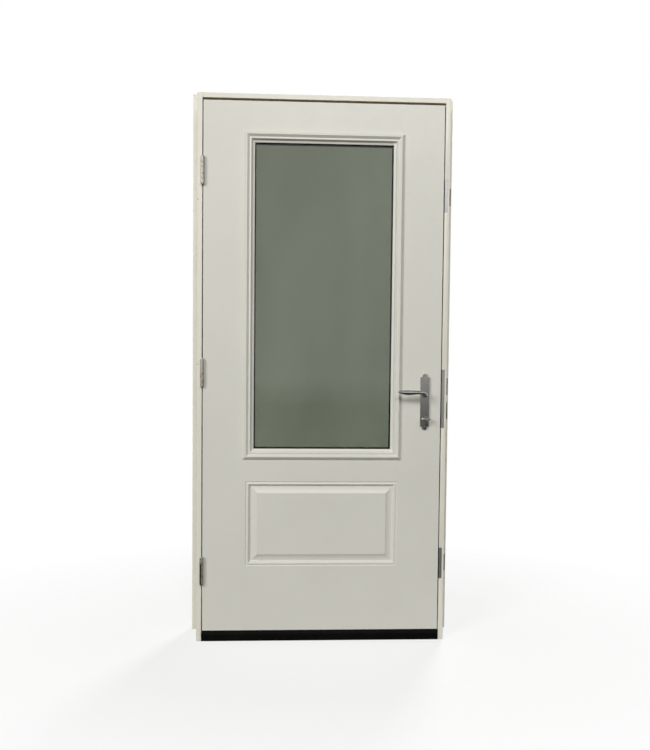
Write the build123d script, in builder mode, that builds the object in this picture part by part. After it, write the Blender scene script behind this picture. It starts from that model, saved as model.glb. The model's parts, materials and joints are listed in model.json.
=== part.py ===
from build123d import *
import os
from math import asin, cos, radians, sin

os.makedirs("parts", exist_ok=True)

# Door leaf
leaf_width = 908.0
leaf_height = 2007.0
leaf_thickness = 44.5
skin_thickness = 2.0
hinge_stile_width = 42.0
lock_stile_width = 112.0
top_rail_height = 60.0
bottom_rail_height = 70.0

# Gaps round the closed leaf
side_reveal = 3.5
head_reveal = 8.0
threshold_gap = 6.0
seal_gap = 9.0
soft_clearance = 0.3

# Jambs
jamb_depth = 116.0
jamb_thickness = 31.75
stop_height = 12.7
kerf_width = 3.2
kerf_depth = 10.0
kerf_setback = 2.0
eased_edge = 1.2

# Exterior casing
casing_width = 50.8
casing_thickness = 30.0
casing_reveal = 12.7
casing_inner_shares = [(0.0, 0.0), (0.0, 0.45), (0.12, 0.45)]
casing_cove_shares = [(0.12, 0.45), (0.31, 0.58), (0.40, 0.86)]
casing_outer_shares = [
    (0.40, 0.86), (0.46, 0.86), (0.46, 1.0), (0.94, 1.0), (1.0, 0.94), (1.0, 0.0), (0.0, 0.0),
]

# Sill
sill_base_height = 24.0
sill_nose_reach = 27.0
sill_nose_height = 9.0
sill_groove = 2.0
cap_width = 47.0
cap_height = 12.0
cap_edge = 3.0
deck_thickness = 1.8
deck_upstand = 7.0
cap_screw_radius = 5.0
cap_screw_length = 16.0
cap_screw_slot = 1.4
cap_screw_shares = [-0.78, -0.26, 0.26, 0.78]

# Seals
bulb_width = 11.0
bulb_round = 4.0
barb_thickness = 2.4
pad_thickness = 2.0
pad_depth = 28.0
pad_height = 45.0
sweep_inset = 1.0
sweep_base = 2.2
sweep_fin = 2.0
sweep_fin_shares = [0.04, 0.34, 0.64, 0.94]

# Lite: raised frame and insulated glass
lite_side_margin = 151.5
lite_top_margin = 111.0
lite_face = 40.5
lite_proud = 12.0
lite_lap = 15.5
lite_leg = 6.0
lite_leg_clearance = 0.5
lite_profile_shares = [
    (0.0, 0.0), (0.0, 0.22), (0.06, 0.36), (0.24, 0.94), (0.28, 1.0), (0.32, 1.0), (0.52, 0.40),
    (0.55, 0.38), (0.62, 0.50), (0.68, 0.48), (0.84, -0.22), (0.88, -0.30), (1.0, -0.42),
]
pane_thickness = 3.0
pane_gap = 12.5
pane_cover = 12.0
tape_thickness = 1.0
tape_width = 9.0
spacer_width = 14.0
spacer_inset = 2.0

# Raised panel under the lite
panel_side_margin = 163.0
panel_bottom_margin = 249.5
panel_height = 326.0
mid_rail_height = 84.5
panel_moulding = 45.0
panel_depth = 9.0
panel_profile_shares = [
    (0.0, 0.0), (0.04, 0.24), (0.07, 0.24), (0.20, 0.03), (0.25, 0.08), (0.40, 1.0), (0.45, 1.0),
    (0.60, 0.89), (0.745, 0.695), (0.88, 0.42), (0.97, 0.165), (1.0, 0.11),
]
joint_line_width = 1.2
joint_line_depth = 0.6

# Butt hinges
hinge_height = 102.0
hinge_leaf_width = 35.0
hinge_leaf_thickness = 2.7
hinge_bottom_margin = 232.5
hinge_top_margin = 260.5
barrel_radius = 7.25
barrel_stand = 0.25
knuckle_count = 5
knuckle_gap = 0.4
knuckle_middle_share = 0.5
pin_radius = 4.0
pin_fit = 0.05
pin_head_radius = 6.0
pin_head_height = 3.5
pin_tip = 3.0
pin_head_taper = 20
hinge_screw_shares = [(0.42, -0.76), (0.74, -0.27), (0.74, 0.27), (0.42, 0.76)]

# Wood screws in hinges and strikes
screw_head_radius = 4.4
screw_shank_radius = 2.3
screw_length = 16.0
screw_fit = 0.1
screw_sides = 12
countersink_taper = 45

# Lock, placed from the lever's axis and the ends of the leaf
backset = 62.0
lever_height = 912.0
turn_drop = 92.0
latch_rise = 31.0
bolt_spacing = 93.5
upper_tongue_margin = 340.5
lower_tongue_margin = 258.6
faceplate_width = 22.0
faceplate_thickness = 3.0
faceplate_end = 75.0
mortise_clearance = 0.3
slide_clearance = 0.4
case_width = 18.0
case_wall = 1.5
case_depth = 92.0
case_over_latch = 28.0
case_under_turn = 22.0
tongue_case_height = 110.0
tongue_case_depth = 62.0
latch_throw = 12.7
latch_height = 26.0
latch_length = 52.0
latch_tail_height = 8.0
bolt_width = 13.6
deadbolt_height = 32.0
deadbolt_length = 58.0
bolt_nose = 2.0
tongue_height = 36.0
tongue_length = 50.0
flush_setback = 0.5
rod_width = 10.0
rod_thickness = 3.0
rod_setback = 2.0
rod_entry = 10.0
rod_bolt_gap = 4.0

# Strikes on the lock-side jamb
strike_thickness = 1.6
strike_width = 38.0
strike_lip = 11.0
centre_strike_height = 225.0
end_strike_height = 120.0
strike_screw_inset = 12.0
window_clearance = 1.0
dust_box_height = 64.0
dust_box_width = 18.0
dust_box_wall = 1.2
dust_box_proud = 6.0

# Handle set
plate_width = 34.5
plate_body_height = 187.0
plate_ear_radius = 10.5
plate_ear_rise = 3.5
plate_shoulder_round = 4.0
plate_thickness = 9.0
plate_bevel = 1.4
plate_top_over_lever = 67.0
plate_screw_head_radius = 4.2
plate_screw_shank_radius = 2.5
hub_clearance = 0.3
lever_reach = 111.0
lever_stand = 52.0
lever_rise = 10.0
lever_grip_height = 18.5
lever_grip_thickness = 13.0
lever_collar_radius = 13.0
lever_collar_height = 7.0
lever_collar_taper = 12
lever_shank_radius = 9.5
lever_shank_entry = 14.0
lever_socket_depth = 22.0
lever_sides = 20
lever_section_shares = [
    (0.000, 0.29, 0.00, 0.0, 1.25, 0.96), (0.000, 0.56, 0.10, 0.0, 1.18, 0.86),
    (0.045, 0.86, 0.50, 38.0, 1.10, 0.80), (0.150, 1.00, 0.98, 80.0, 1.00, 0.74),
    (0.300, 1.02, 1.10, 89.0, 0.98, 0.76), (0.600, 1.02, 1.01, 91.0, 1.00, 1.00),
    (0.800, 0.99, 1.08, 92.0, 0.88, 0.86), (0.950, 0.97, 1.27, 92.0, 0.64, 0.46),
    (1.000, 0.965, 1.33, 92.0, 0.30, 0.20),
]
spindle_side = 8.0
spindle_fit = 0.1
follower_radius = 9.8
follower_arm = 8.0
follower_arm_reach = 16.0
turn_collar_radius = 11.0
turn_collar_height = 4.0
turn_collar_taper = 20
turn_stem_radius = 5.5
turn_stem_height = 6.0
turn_bulb_radius = 8.0
turn_bulb_reach = 8.5
turn_tail_radius = 4.7
turn_tail_reach = 14.0
turn_grip_height = 15.0
turn_grip_edge = 3.2
turn_shaft_radius = 4.0
cam_radius = 9.0
cam_thickness = 10.0
cylinder_radius = 11.0
cylinder_collar_radius = 13.5
cylinder_collar_height = 6.0
cylinder_collar_taper = 15
keyway_width = 2.0
keyway_height = 9.0
keyway_depth = 3.0

# Every cut runs past the piece it cuts by this much
overrun = 5.0

# Places worked out from the sizes
leaf_half = leaf_width / 2
face_y = -jamb_depth / 2
back_y = face_y + leaf_thickness
middle_y = (face_y + back_y) / 2
stop_y = back_y + seal_gap
outside_y = jamb_depth / 2
rabbet_x = leaf_half + side_reveal
stop_x = rabbet_x - stop_height
jamb_x = stop_x + jamb_thickness
cap_top = sill_base_height + cap_height
leaf_bottom = cap_top + threshold_gap
leaf_top = leaf_bottom + leaf_height
rabbet_z = leaf_top + head_reveal
stop_z = rabbet_z - stop_height
head_top = stop_z + jamb_thickness
casing_x = stop_x + casing_reveal
casing_z = stop_z + casing_reveal
cap_back_y = face_y + cap_width
nose_y = outside_y + sill_nose_reach
inner_face_y = face_y + skin_thickness
inner_back_y = back_y - skin_thickness
core_hinge_x = -leaf_half + hinge_stile_width
core_lock_x = leaf_half - lock_stile_width
panel_width = leaf_width - 2 * panel_side_margin
panel_bottom = leaf_bottom + panel_bottom_margin
panel_middle = panel_bottom + panel_height / 2
panel_top = panel_bottom + panel_height
lite_width = leaf_width - 2 * lite_side_margin
lite_bottom = panel_top + mid_rail_height
lite_top = leaf_top - lite_top_margin
lite_height = lite_top - lite_bottom
lite_middle = (lite_bottom + lite_top) / 2
cutout_width = lite_width - 2 * lite_lap
cutout_height = lite_height - 2 * lite_lap
sight_width = lite_width - 2 * lite_face
sight_height = lite_height - 2 * lite_face
glass_width = sight_width + 2 * pane_cover
glass_height = sight_height + 2 * pane_cover
glass_depth = (leaf_thickness - pane_gap) / 2 - pane_thickness
field_depth = panel_depth * panel_profile_shares[-1][1]
field_width = panel_width - 2 * panel_moulding
field_height = panel_height - 2 * panel_moulding
hinge_x = -(leaf_half + side_reveal / 2)
hinge_y = face_y - barrel_stand - barrel_radius
knuckle_length = hinge_height / knuckle_count
lock_x = leaf_half - backset
lever_z = leaf_bottom + lever_height
turn_z = lever_z - turn_drop
latch_z = lever_z + latch_rise
deadbolt_z = latch_z - bolt_spacing
upper_tongue_z = leaf_top - upper_tongue_margin
lower_tongue_z = leaf_bottom + lower_tongue_margin
faceplate_x = leaf_half - faceplate_thickness
case_x = faceplate_x - case_depth
case_bottom = turn_z - case_under_turn
case_top = latch_z + case_over_latch
tongue_case_x = faceplate_x - tongue_case_depth
rod_x = faceplate_x - rod_setback
bolt_x = leaf_half - flush_setback
plate_middle = lever_z + plate_top_over_lever - plate_body_height / 2
plate_ear_reach = plate_body_height / 2 + plate_ear_rise
plate_screw_z = [plate_middle - plate_ear_reach, plate_middle + plate_ear_reach]
strike_back_x = rabbet_x + strike_thickness
dust_box_x = jamb_x + dust_box_proud

low_hinge_z = leaf_bottom + hinge_bottom_margin
high_hinge_z = leaf_top - hinge_top_margin
hinge_levels = {"bottom": low_hinge_z, "middle": (low_hinge_z + high_hinge_z) / 2, "top": high_hinge_z}
centre_strike_z = (latch_z + deadbolt_z) / 2
strikes = {
    "top": (upper_tongue_z, end_strike_height, {upper_tongue_z: tongue_height}),
    "centre": (centre_strike_z, centre_strike_height, {latch_z: latch_height, deadbolt_z: deadbolt_height}),
    "bottom": (lower_tongue_z, end_strike_height, {lower_tongue_z: tongue_height}),
}
dust_box_levels = [level for _, _, windows in strikes.values() for level in windows]
sides = (("interior", -1, face_y), ("exterior", 1, back_y))


def upright(y):
    """Plane that faces the room at depth y, with X to the right and Z up."""
    return Plane.XZ.offset(-y)


def edge_plane(x, y, z, direction):
    """Plane at one point of a door edge or a jamb, facing along X."""
    return Plane(origin=(x, y, z), x_dir=(0, 1, 0), z_dir=(direction, 0, 0))


def block(x_span, y_span, z_span, mode=Mode.ADD):
    """Rectangular block between two limits on each axis."""
    spans = (x_span, y_span, z_span)
    size = [high - low for low, high in spans]
    with Locations(tuple((low + high) / 2 for low, high in spans)):
        Box(*size, mode=mode)


def about(middle, size):
    """Limits of a size centred on a place."""
    return (middle - size / 2, middle + size / 2)


def ring_corners(width, height, bottom):
    """Corners of an upright rectangle, from the middle of its lower edge round to its last corner."""
    half = width / 2
    top = bottom + height
    return [(0, bottom), (half, bottom), (half, top), (-half, top), (-half, bottom)]


def ring_section(y, bottom, outward):
    """Plane across the lower edge of such a rectangle, with inward across and out of the face up."""
    return Plane(origin=(0, y, bottom), x_dir=(0, 0, 1), z_dir=(-outward, 0, 0))


def stop_notches():
    """Cuts both ends of a sill piece back to the stops of the side jambs."""
    for side in (-1, 1):
        span = sorted((side * stop_x, side * (rabbet_x + overrun)))
        block(span, (stop_y, outside_y), (-overrun, leaf_bottom), Mode.SUBTRACT)


def drive(fastener, places):
    """Fasteners with their heads flush with the places they are driven at."""
    with Locations(*places):
        add(fastener.part)


def drill(hole, places):
    """Holes shaped for the fasteners driven at the same places."""
    with Locations(*places):
        add(hole.part, mode=Mode.SUBTRACT)


def hinge_screw_places(x, level, direction):
    """Places of the screws in one hinge leaf."""
    return [
        edge_plane(x, face_y + across * hinge_leaf_width, level + up * hinge_height / 2, direction)
        for across, up in hinge_screw_shares
    ]


def strike_screw_places(name):
    """Places of the screws in one strike plate, at its ends and between its windows."""
    level, height, windows = strikes[name]
    heights = [level - height / 2 + strike_screw_inset, level + height / 2 - strike_screw_inset]
    if len(windows) > 1:
        heights.append(level)
    return [edge_plane(rabbet_x, middle_y, z, -1) for z in heights]


# Countersunk wood screw, and the hole that takes it
with BuildPart() as wood_screw:
    with BuildSketch():
        RegularPolygon(screw_shank_radius, screw_sides)
    extrude(amount=-screw_length)
    with BuildSketch():
        RegularPolygon(screw_head_radius, screw_sides)
    extrude(amount=screw_shank_radius - screw_head_radius, taper=countersink_taper)

with BuildPart() as wood_screw_hole:
    with BuildSketch():
        RegularPolygon(screw_shank_radius + screw_fit, screw_sides)
    extrude(amount=-screw_length - screw_fit)
    with BuildSketch():
        RegularPolygon(screw_head_radius + screw_fit, screw_sides)
    extrude(amount=screw_shank_radius - screw_head_radius, taper=countersink_taper)

hinge_frame_places = [p for z in hinge_levels.values() for p in hinge_screw_places(-rabbet_x, z, 1)]
hinge_leaf_places = [p for z in hinge_levels.values() for p in hinge_screw_places(-leaf_half, z, -1)]
strike_places = [place for name in strikes for place in strike_screw_places(name)]


def jamb_section(side):
    """Section of a side jamb: a board with a rabbet for the leaf and a kerf for its seal."""
    Polygon(
        (side * jamb_x, face_y), (side * jamb_x, outside_y), (side * stop_x, outside_y),
        (side * stop_x, stop_y), (side * rabbet_x, stop_y), (side * rabbet_x, face_y), align=None,
    )
    kerf_x = side * (rabbet_x - kerf_setback - kerf_width / 2)
    with Locations((kerf_x, stop_y + kerf_depth / 2)):
        Rectangle(kerf_width, kerf_depth, mode=Mode.SUBTRACT)


def head_seat(side):
    """Cuts the stop of a side jamb away where the head jamb passes."""
    span = sorted((side * stop_x, side * rabbet_x))
    block(span, (stop_y, outside_y + overrun), (stop_z, head_top + overrun), Mode.SUBTRACT)


# Side jamb that carries the hinges, with a shallow seat for each hinge leaf
with BuildPart() as hinge_jamb:
    with BuildSketch():
        jamb_section(-1)
    extrude(amount=head_top)
    chamfer(hinge_jamb.edges().filter_by(Axis.Z).group_by(Axis.Y)[0], eased_edge)
    head_seat(-1)
    for level in hinge_levels.values():
        block((-rabbet_x - hinge_leaf_thickness, -rabbet_x + overrun),
              (face_y - overrun, face_y + hinge_leaf_width), about(level, hinge_height), Mode.SUBTRACT)
    drill(wood_screw_hole, hinge_frame_places)
hinge_jamb.part.label = "hinge_jamb"
export_step(hinge_jamb.part, "parts/hinge_jamb.step")

# Side jamb that carries the strikes, with a notch for each lip and a mortise for each dust box
with BuildPart() as strike_jamb:
    with BuildSketch():
        jamb_section(1)
    extrude(amount=head_top)
    chamfer(strike_jamb.edges().filter_by(Axis.Z).group_by(Axis.Y)[0], eased_edge)
    head_seat(1)
    for level, height, windows in strikes.values():
        block((rabbet_x - overrun, strike_back_x), (face_y - overrun, face_y + strike_width),
              about(level, height), Mode.SUBTRACT)
        block((rabbet_x - overrun, rabbet_x + strike_lip), (face_y - overrun, face_y + strike_thickness),
              about(level, height), Mode.SUBTRACT)
    for level in dust_box_levels:
        block((rabbet_x, jamb_x + overrun), about(middle_y, dust_box_width + mortise_clearance),
              about(level, dust_box_height + mortise_clearance), Mode.SUBTRACT)
    drill(wood_screw_hole, strike_places)
strike_jamb.part.label = "strike_jamb"
export_step(strike_jamb.part, "parts/strike_jamb.step")

# Head jamb, let in between the side jambs
with BuildPart() as head_jamb:
    with BuildSketch(Plane.YZ):
        with BuildLine():
            Polyline(
                (face_y, head_top), (outside_y, head_top), (outside_y, stop_z),
                (stop_y, stop_z), (stop_y, rabbet_z), (face_y, rabbet_z), close=True,
            )
        make_face()
        with Locations((stop_y + kerf_depth / 2, rabbet_z - kerf_setback - kerf_width / 2)):
            Rectangle(kerf_depth, kerf_width, mode=Mode.SUBTRACT)
    extrude(amount=rabbet_x, both=True)
    chamfer(head_jamb.edges().filter_by(Axis.X).group_by(Axis.Y)[0], eased_edge)
head_jamb.part.label = "head_jamb"
export_step(head_jamb.part, "parts/head_jamb.step")


def casing_points(shares, side):
    """Points of a side casing's section, from shares of its width and thickness."""
    return [(side * (casing_x + across * casing_width), outside_y + out * casing_thickness)
            for across, out in shares]


def head_casing_points(shares):
    """Points of the head casing's section, from shares of its width and thickness."""
    return [(outside_y + out * casing_thickness, casing_z + across * casing_width) for across, out in shares]


def mitre(side):
    """Plane of the mitre between a side casing and the head casing."""
    return Plane(origin=(side * casing_x, outside_y, casing_z), z_dir=(-side, 0, 1))


# Side casings
for name, side in (("hinge_side", -1), ("strike_side", 1)):
    with BuildPart() as side_casing:
        with BuildSketch():
            with BuildLine():
                Polyline(*casing_points(casing_inner_shares, side))
                ThreePointArc(*casing_points(casing_cove_shares, side))
                Polyline(*casing_points(casing_outer_shares, side))
            make_face()
        extrude(amount=casing_z + casing_width)
        split(bisect_by=mitre(side), keep=Keep.BOTTOM)
    side_casing.part.label = f"brickmould_{name}"
    export_step(side_casing.part, f"parts/brickmould_{name}.step")

# Head casing
with BuildPart() as head_casing:
    with BuildSketch(Plane.YZ):
        with BuildLine():
            Polyline(*head_casing_points(casing_inner_shares))
            ThreePointArc(*head_casing_points(casing_cove_shares))
            Polyline(*head_casing_points(casing_outer_shares))
        make_face()
    extrude(amount=casing_x + casing_width, both=True)
    split(bisect_by=mitre(-1), keep=Keep.TOP)
    split(bisect_by=mitre(1), keep=Keep.TOP)
head_casing.part.label = "brickmould_head"
export_step(head_casing.part, "parts/brickmould_head.step")

# Slotted screw that raises and lowers the threshold cap, and its hole
cap_middle_y = face_y + cap_width / 2
cap_screw_places = [Plane(origin=(share * rabbet_x, cap_middle_y, cap_top)) for share in cap_screw_shares]
with BuildPart() as cap_screw:
    with BuildSketch():
        RegularPolygon(cap_screw_radius, screw_sides)
    extrude(amount=-cap_screw_length)
    Box(2 * cap_screw_radius, cap_screw_slot, 2 * cap_screw_slot, mode=Mode.SUBTRACT)

with BuildPart() as cap_screw_hole:
    with BuildSketch():
        RegularPolygon(cap_screw_radius + screw_fit, screw_sides)
    extrude(amount=-cap_screw_length - screw_fit)

# Sill base, with a drip slope to the outside and a groove along its room edge
with BuildPart() as sill_base:
    with BuildSketch(Plane.YZ):
        with BuildLine():
            Polyline(
                (face_y, 0), (nose_y - deck_thickness, 0), (nose_y - deck_thickness, sill_nose_height),
                (cap_back_y, sill_base_height), (face_y, sill_base_height), close=True,
            )
        make_face()
        with Locations((face_y, sill_base_height)):
            Rectangle(2 * sill_groove, 2 * sill_groove, mode=Mode.SUBTRACT)
    extrude(amount=rabbet_x, both=True)
    stop_notches()
    drill(cap_screw_hole, cap_screw_places)
sill_base.part.label = "sill_base"
export_step(sill_base.part, "parts/sill_base.step")

# Sill deck: bent metal over the slope, up the back of the cap and down the nose
with BuildPart() as sill_deck:
    with BuildSketch(Plane.YZ):
        with BuildLine():
            Polyline(
                (cap_back_y, sill_base_height), (nose_y - deck_thickness, sill_nose_height),
                (nose_y - deck_thickness, 0), (nose_y, 0), (nose_y, sill_nose_height + deck_thickness),
                (cap_back_y + deck_thickness, sill_base_height + deck_thickness),
                (cap_back_y + deck_thickness, sill_base_height + deck_upstand),
                (cap_back_y, sill_base_height + deck_upstand), close=True,
            )
        make_face()
    extrude(amount=rabbet_x, both=True)
    stop_notches()
sill_deck.part.label = "sill_deck"
export_step(sill_deck.part, "parts/sill_deck.step")

# Threshold cap that the sweep closes on
with BuildPart() as threshold_cap:
    block((-rabbet_x, rabbet_x), (face_y, cap_back_y), (sill_base_height, cap_top))
    chamfer(threshold_cap.faces().sort_by(Axis.Z)[-1].edges().filter_by(Axis.X), cap_edge)
    drill(cap_screw_hole, cap_screw_places)
threshold_cap.part.label = "threshold_cap"
export_step(threshold_cap.part, "parts/threshold_cap.step")

# Screws of the cap
with BuildPart() as threshold_screws:
    drive(cap_screw, cap_screw_places)
threshold_screws.part.label = "threshold_screws"
export_step(threshold_screws.part, "parts/threshold_screws.step")

# Compression seals in the kerfs of the side jambs
bulb_depth = seal_gap - soft_clearance
bulb_y = stop_y - bulb_depth / 2
barb_depth = kerf_depth - soft_clearance
for name, side in (("hinge_side", -1), ("strike_side", 1)):
    with BuildPart() as side_seal:
        with BuildSketch(Plane.XY.offset(leaf_bottom)) as bulb:
            with Locations((side * (rabbet_x - bulb_width / 2), bulb_y)):
                Rectangle(bulb_width, bulb_depth)
            fillet(bulb.vertices().group_by(Axis.Y)[0], bulb_round)
        extrude(amount=rabbet_z - leaf_bottom)
        with BuildSketch(Plane.XY.offset(leaf_bottom)):
            with Locations((side * (rabbet_x - kerf_setback - kerf_width / 2), stop_y + barb_depth / 2)):
                Rectangle(barb_thickness, barb_depth)
        extrude(amount=stop_z - leaf_bottom)
    side_seal.part.label = f"weatherstrip_{name}"
    export_step(side_seal.part, f"parts/weatherstrip_{name}.step")

# Compression seal of the head, between the side seals
with BuildPart() as head_seal:
    with BuildSketch(Plane.YZ) as bulb:
        with Locations((bulb_y, rabbet_z - bulb_width / 2)):
            Rectangle(bulb_depth, bulb_width)
        fillet(bulb.vertices().group_by(Axis.Y)[0], bulb_round)
        with Locations((stop_y + barb_depth / 2, rabbet_z - kerf_setback - kerf_width / 2)):
            Rectangle(barb_depth, barb_thickness)
    extrude(amount=rabbet_x - bulb_width, both=True)
head_seal.part.label = "weatherstrip_head"
export_step(head_seal.part, "parts/weatherstrip_head.step")

# Foam pads on the jambs at both ends of the cap
with BuildPart() as corner_pads:
    for side in (-1, 1):
        block(sorted((side * (rabbet_x - pad_thickness), side * rabbet_x)), (back_y - pad_depth, back_y),
              (cap_top, cap_top + pad_height))
corner_pads.part.label = "corner_pads"
export_step(corner_pads.part, "parts/corner_pads.step")


def hinge_leaf(level, plate_span, own_knuckles):
    """One hinge leaf: a plate whose edge is rolled into knuckles round the pin."""
    bottom = level - hinge_height / 2
    block(plate_span, (face_y, face_y + hinge_leaf_width), about(level, hinge_height))
    for number in own_knuckles:
        span = about(bottom + (number + knuckle_middle_share) * knuckle_length, knuckle_length - knuckle_gap)
        with Locations((hinge_x, hinge_y, sum(span) / 2)):
            Cylinder(barrel_radius, span[1] - span[0])
        block(plate_span, (hinge_y, face_y), span)
    with Locations((hinge_x, hinge_y, level)):
        Cylinder(pin_radius + pin_fit, hinge_height + overrun, mode=Mode.SUBTRACT)


# Hinges: the frame leaf has the outer and middle knuckles, the door leaf those between
frame_plate = (-rabbet_x - hinge_leaf_thickness, -rabbet_x)
door_plate = (-leaf_half, -leaf_half + hinge_leaf_thickness)
for name, level in hinge_levels.items():
    with BuildPart() as frame_leaf:
        hinge_leaf(level, frame_plate, range(0, knuckle_count, 2))
        drill(wood_screw_hole, hinge_screw_places(-rabbet_x, level, 1))
    frame_leaf.part.label = f"hinge_{name}_frame_leaf"
    export_step(frame_leaf.part, f"parts/hinge_{name}_frame_leaf.step")

    with BuildPart() as door_leaf:
        hinge_leaf(level, door_plate, range(1, knuckle_count, 2))
        drill(wood_screw_hole, hinge_screw_places(-leaf_half, level, -1))
    door_leaf.part.label = f"hinge_{name}_door_leaf"
    export_step(door_leaf.part, f"parts/hinge_{name}_door_leaf.step")

# Hinge pins, each hung by its head on the top knuckle
with BuildPart() as hinge_pins:
    pin_foot = -hinge_height / 2 - pin_tip
    pin_seat = hinge_height / 2 - knuckle_gap / 2
    for level in hinge_levels.values():
        with BuildSketch(Plane.XY.offset(level + pin_foot)):
            with Locations((hinge_x, hinge_y)):
                Circle(pin_radius)
        extrude(amount=pin_seat - pin_foot)
        with BuildSketch(Plane.XY.offset(level + pin_seat)):
            with Locations((hinge_x, hinge_y)):
                Circle(pin_head_radius)
        extrude(amount=pin_head_height, taper=pin_head_taper)
hinge_pins.part.label = "hinge_pins"
export_step(hinge_pins.part, "parts/hinge_pins.step")

# Screws of the frame's hinge leaves and strikes
with BuildPart() as frame_screws:
    drive(wood_screw, hinge_frame_places + strike_places)
frame_screws.part.label = "frame_screws"
export_step(frame_screws.part, "parts/frame_screws.step")

# Screws of the door's hinge leaves
with BuildPart() as leaf_screws:
    drive(wood_screw, hinge_leaf_places)
leaf_screws.part.label = "leaf_screws"
export_step(leaf_screws.part, "parts/leaf_screws.step")

# Strikes: a plate in the rabbet with a lip folded on the room edge of the jamb
for name, (level, height, windows) in strikes.items():
    with BuildPart() as strike:
        with BuildSketch(Plane.XY.offset(level - height / 2)):
            with BuildLine():
                Polyline(
                    (rabbet_x, face_y), (rabbet_x + strike_lip, face_y),
                    (rabbet_x + strike_lip, face_y + strike_thickness),
                    (strike_back_x, face_y + strike_thickness), (strike_back_x, face_y + strike_width),
                    (rabbet_x, face_y + strike_width), close=True,
                )
            make_face()
        extrude(amount=height)
        for window_level, window_height in windows.items():
            block((rabbet_x - overrun, strike_back_x + overrun),
                  about(middle_y, bolt_width + 2 * window_clearance),
                  about(window_level, window_height + 2 * window_clearance), Mode.SUBTRACT)
        drill(wood_screw_hole, strike_screw_places(name))
    strike.part.label = f"strike_{name}"
    export_step(strike.part, f"parts/strike_{name}.step")

# Dust boxes: open cups behind the strikes that stand out past the jamb
with BuildPart() as dust_boxes:
    for level in dust_box_levels:
        block((strike_back_x, dust_box_x), about(middle_y, dust_box_width), about(level, dust_box_height))
        block((strike_back_x - overrun, dust_box_x - dust_box_wall),
              about(middle_y, dust_box_width - 2 * dust_box_wall),
              about(level, dust_box_height - 2 * dust_box_wall), Mode.SUBTRACT)
dust_boxes.part.label = "dust_boxes"
export_step(dust_boxes.part, "parts/dust_boxes.step")


def handle_holes(y_span, radii):
    """Round holes through the door at the lever, the turn and the plate screws."""
    centre_y = sum(y_span) / 2
    length = y_span[1] - y_span[0] + 2 * overrun
    for z, radius in radii:
        with Locations(Location((lock_x, centre_y, z), (90, 0, 0))):
            Cylinder(radius, length, mode=Mode.SUBTRACT)


screw_bores = [(z, plate_screw_shank_radius + mortise_clearance) for z in plate_screw_z]
lever_bore = (lever_z, lever_shank_radius + hub_clearance)
turn_bores = {
    "interior": (turn_z, turn_shaft_radius + hub_clearance),
    "exterior": (turn_z, cylinder_radius + screw_fit),
}
panel_front = [(across * panel_moulding, -depth * panel_depth) for across, depth in panel_profile_shares]
panel_rear = [(across, out - skin_thickness) for across, out in panel_front]

# Moulded skins: the lite's opening, the raised panel and the lines where stiles meet rails
for name, outward, skin_y in sides:
    with BuildPart() as skin:
        with BuildSketch(upright(skin_y)):
            with Locations((0, leaf_bottom + leaf_height / 2)):
                Rectangle(leaf_width, leaf_height)
            with Locations((0, lite_middle)):
                Rectangle(cutout_width, cutout_height, mode=Mode.SUBTRACT)
            with Locations((0, panel_middle)):
                Rectangle(panel_width, panel_height, mode=Mode.SUBTRACT)
        extrude(amount=outward * skin_thickness)
        with BuildLine(upright(skin_y)):
            Polyline(*ring_corners(panel_width, panel_height, panel_bottom), close=True)
        with BuildSketch(ring_section(skin_y, panel_bottom, outward)):
            Polygon(*panel_front, *panel_rear[::-1], align=None)
        sweep(transition=Transition.RIGHT)
        with BuildSketch(upright(skin_y - outward * field_depth)):
            with Locations((0, panel_middle)):
                Rectangle(field_width, field_height)
        extrude(amount=outward * skin_thickness)
        for side in (-1, 1):
            for low, high in ((leaf_bottom, panel_bottom), (panel_top, lite_bottom), (lite_top, leaf_top)):
                block(about(side * panel_width / 2, joint_line_width), about(skin_y, 2 * joint_line_depth),
                      (low, high), Mode.SUBTRACT)
        for level in hinge_levels.values():
            block((-leaf_half - overrun, -leaf_half + hinge_leaf_thickness),
                  (face_y - overrun, face_y + hinge_leaf_width), about(level, hinge_height), Mode.SUBTRACT)
        handle_holes(about(skin_y, 2 * skin_thickness), [lever_bore, turn_bores[name], *screw_bores])
    skin.part.label = f"{name}_skin"
    export_step(skin.part, f"parts/{name}_skin.step")

# Hinge stile, with a seat for each hinge leaf
with BuildPart() as hinge_stile:
    block((-leaf_half, core_hinge_x), (inner_face_y, inner_back_y), (leaf_bottom, leaf_top))
    for level in hinge_levels.values():
        block((-leaf_half - overrun, -leaf_half + hinge_leaf_thickness),
              (face_y, face_y + hinge_leaf_width), about(level, hinge_height), Mode.SUBTRACT)
    drill(wood_screw_hole, hinge_leaf_places)
hinge_stile.part.label = "hinge_stile"
export_step(hinge_stile.part, "parts/hinge_stile.step")

# Lock stile, mortised for the faceplate, the rods and the three cases
faceplate_span = (lower_tongue_z - faceplate_end, upper_tongue_z + faceplate_end)
channel_x = rod_x - rod_thickness - slide_clearance
with BuildPart() as lock_stile:
    block((core_lock_x, leaf_half), (inner_face_y, inner_back_y), (leaf_bottom, leaf_top))
    block((faceplate_x, leaf_half + overrun), about(middle_y, faceplate_width), faceplate_span, Mode.SUBTRACT)
    block((channel_x, leaf_half), about(middle_y, rod_width + 2 * slide_clearance),
          (lower_tongue_z, upper_tongue_z), Mode.SUBTRACT)
    block((case_x - mortise_clearance, leaf_half), about(middle_y, case_width + 2 * mortise_clearance),
          (case_bottom - mortise_clearance, case_top + mortise_clearance), Mode.SUBTRACT)
    for level in (upper_tongue_z, lower_tongue_z):
        block((tongue_case_x - mortise_clearance, leaf_half),
              about(middle_y, case_width + 2 * mortise_clearance),
              about(level, tongue_case_height + 2 * mortise_clearance), Mode.SUBTRACT)
    handle_holes((face_y, back_y), [(lever_z, follower_radius + hub_clearance),
                                    (turn_z, cylinder_radius + screw_fit), *screw_bores])
lock_stile.part.label = "lock_stile"
export_step(lock_stile.part, "parts/lock_stile.step")

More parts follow.
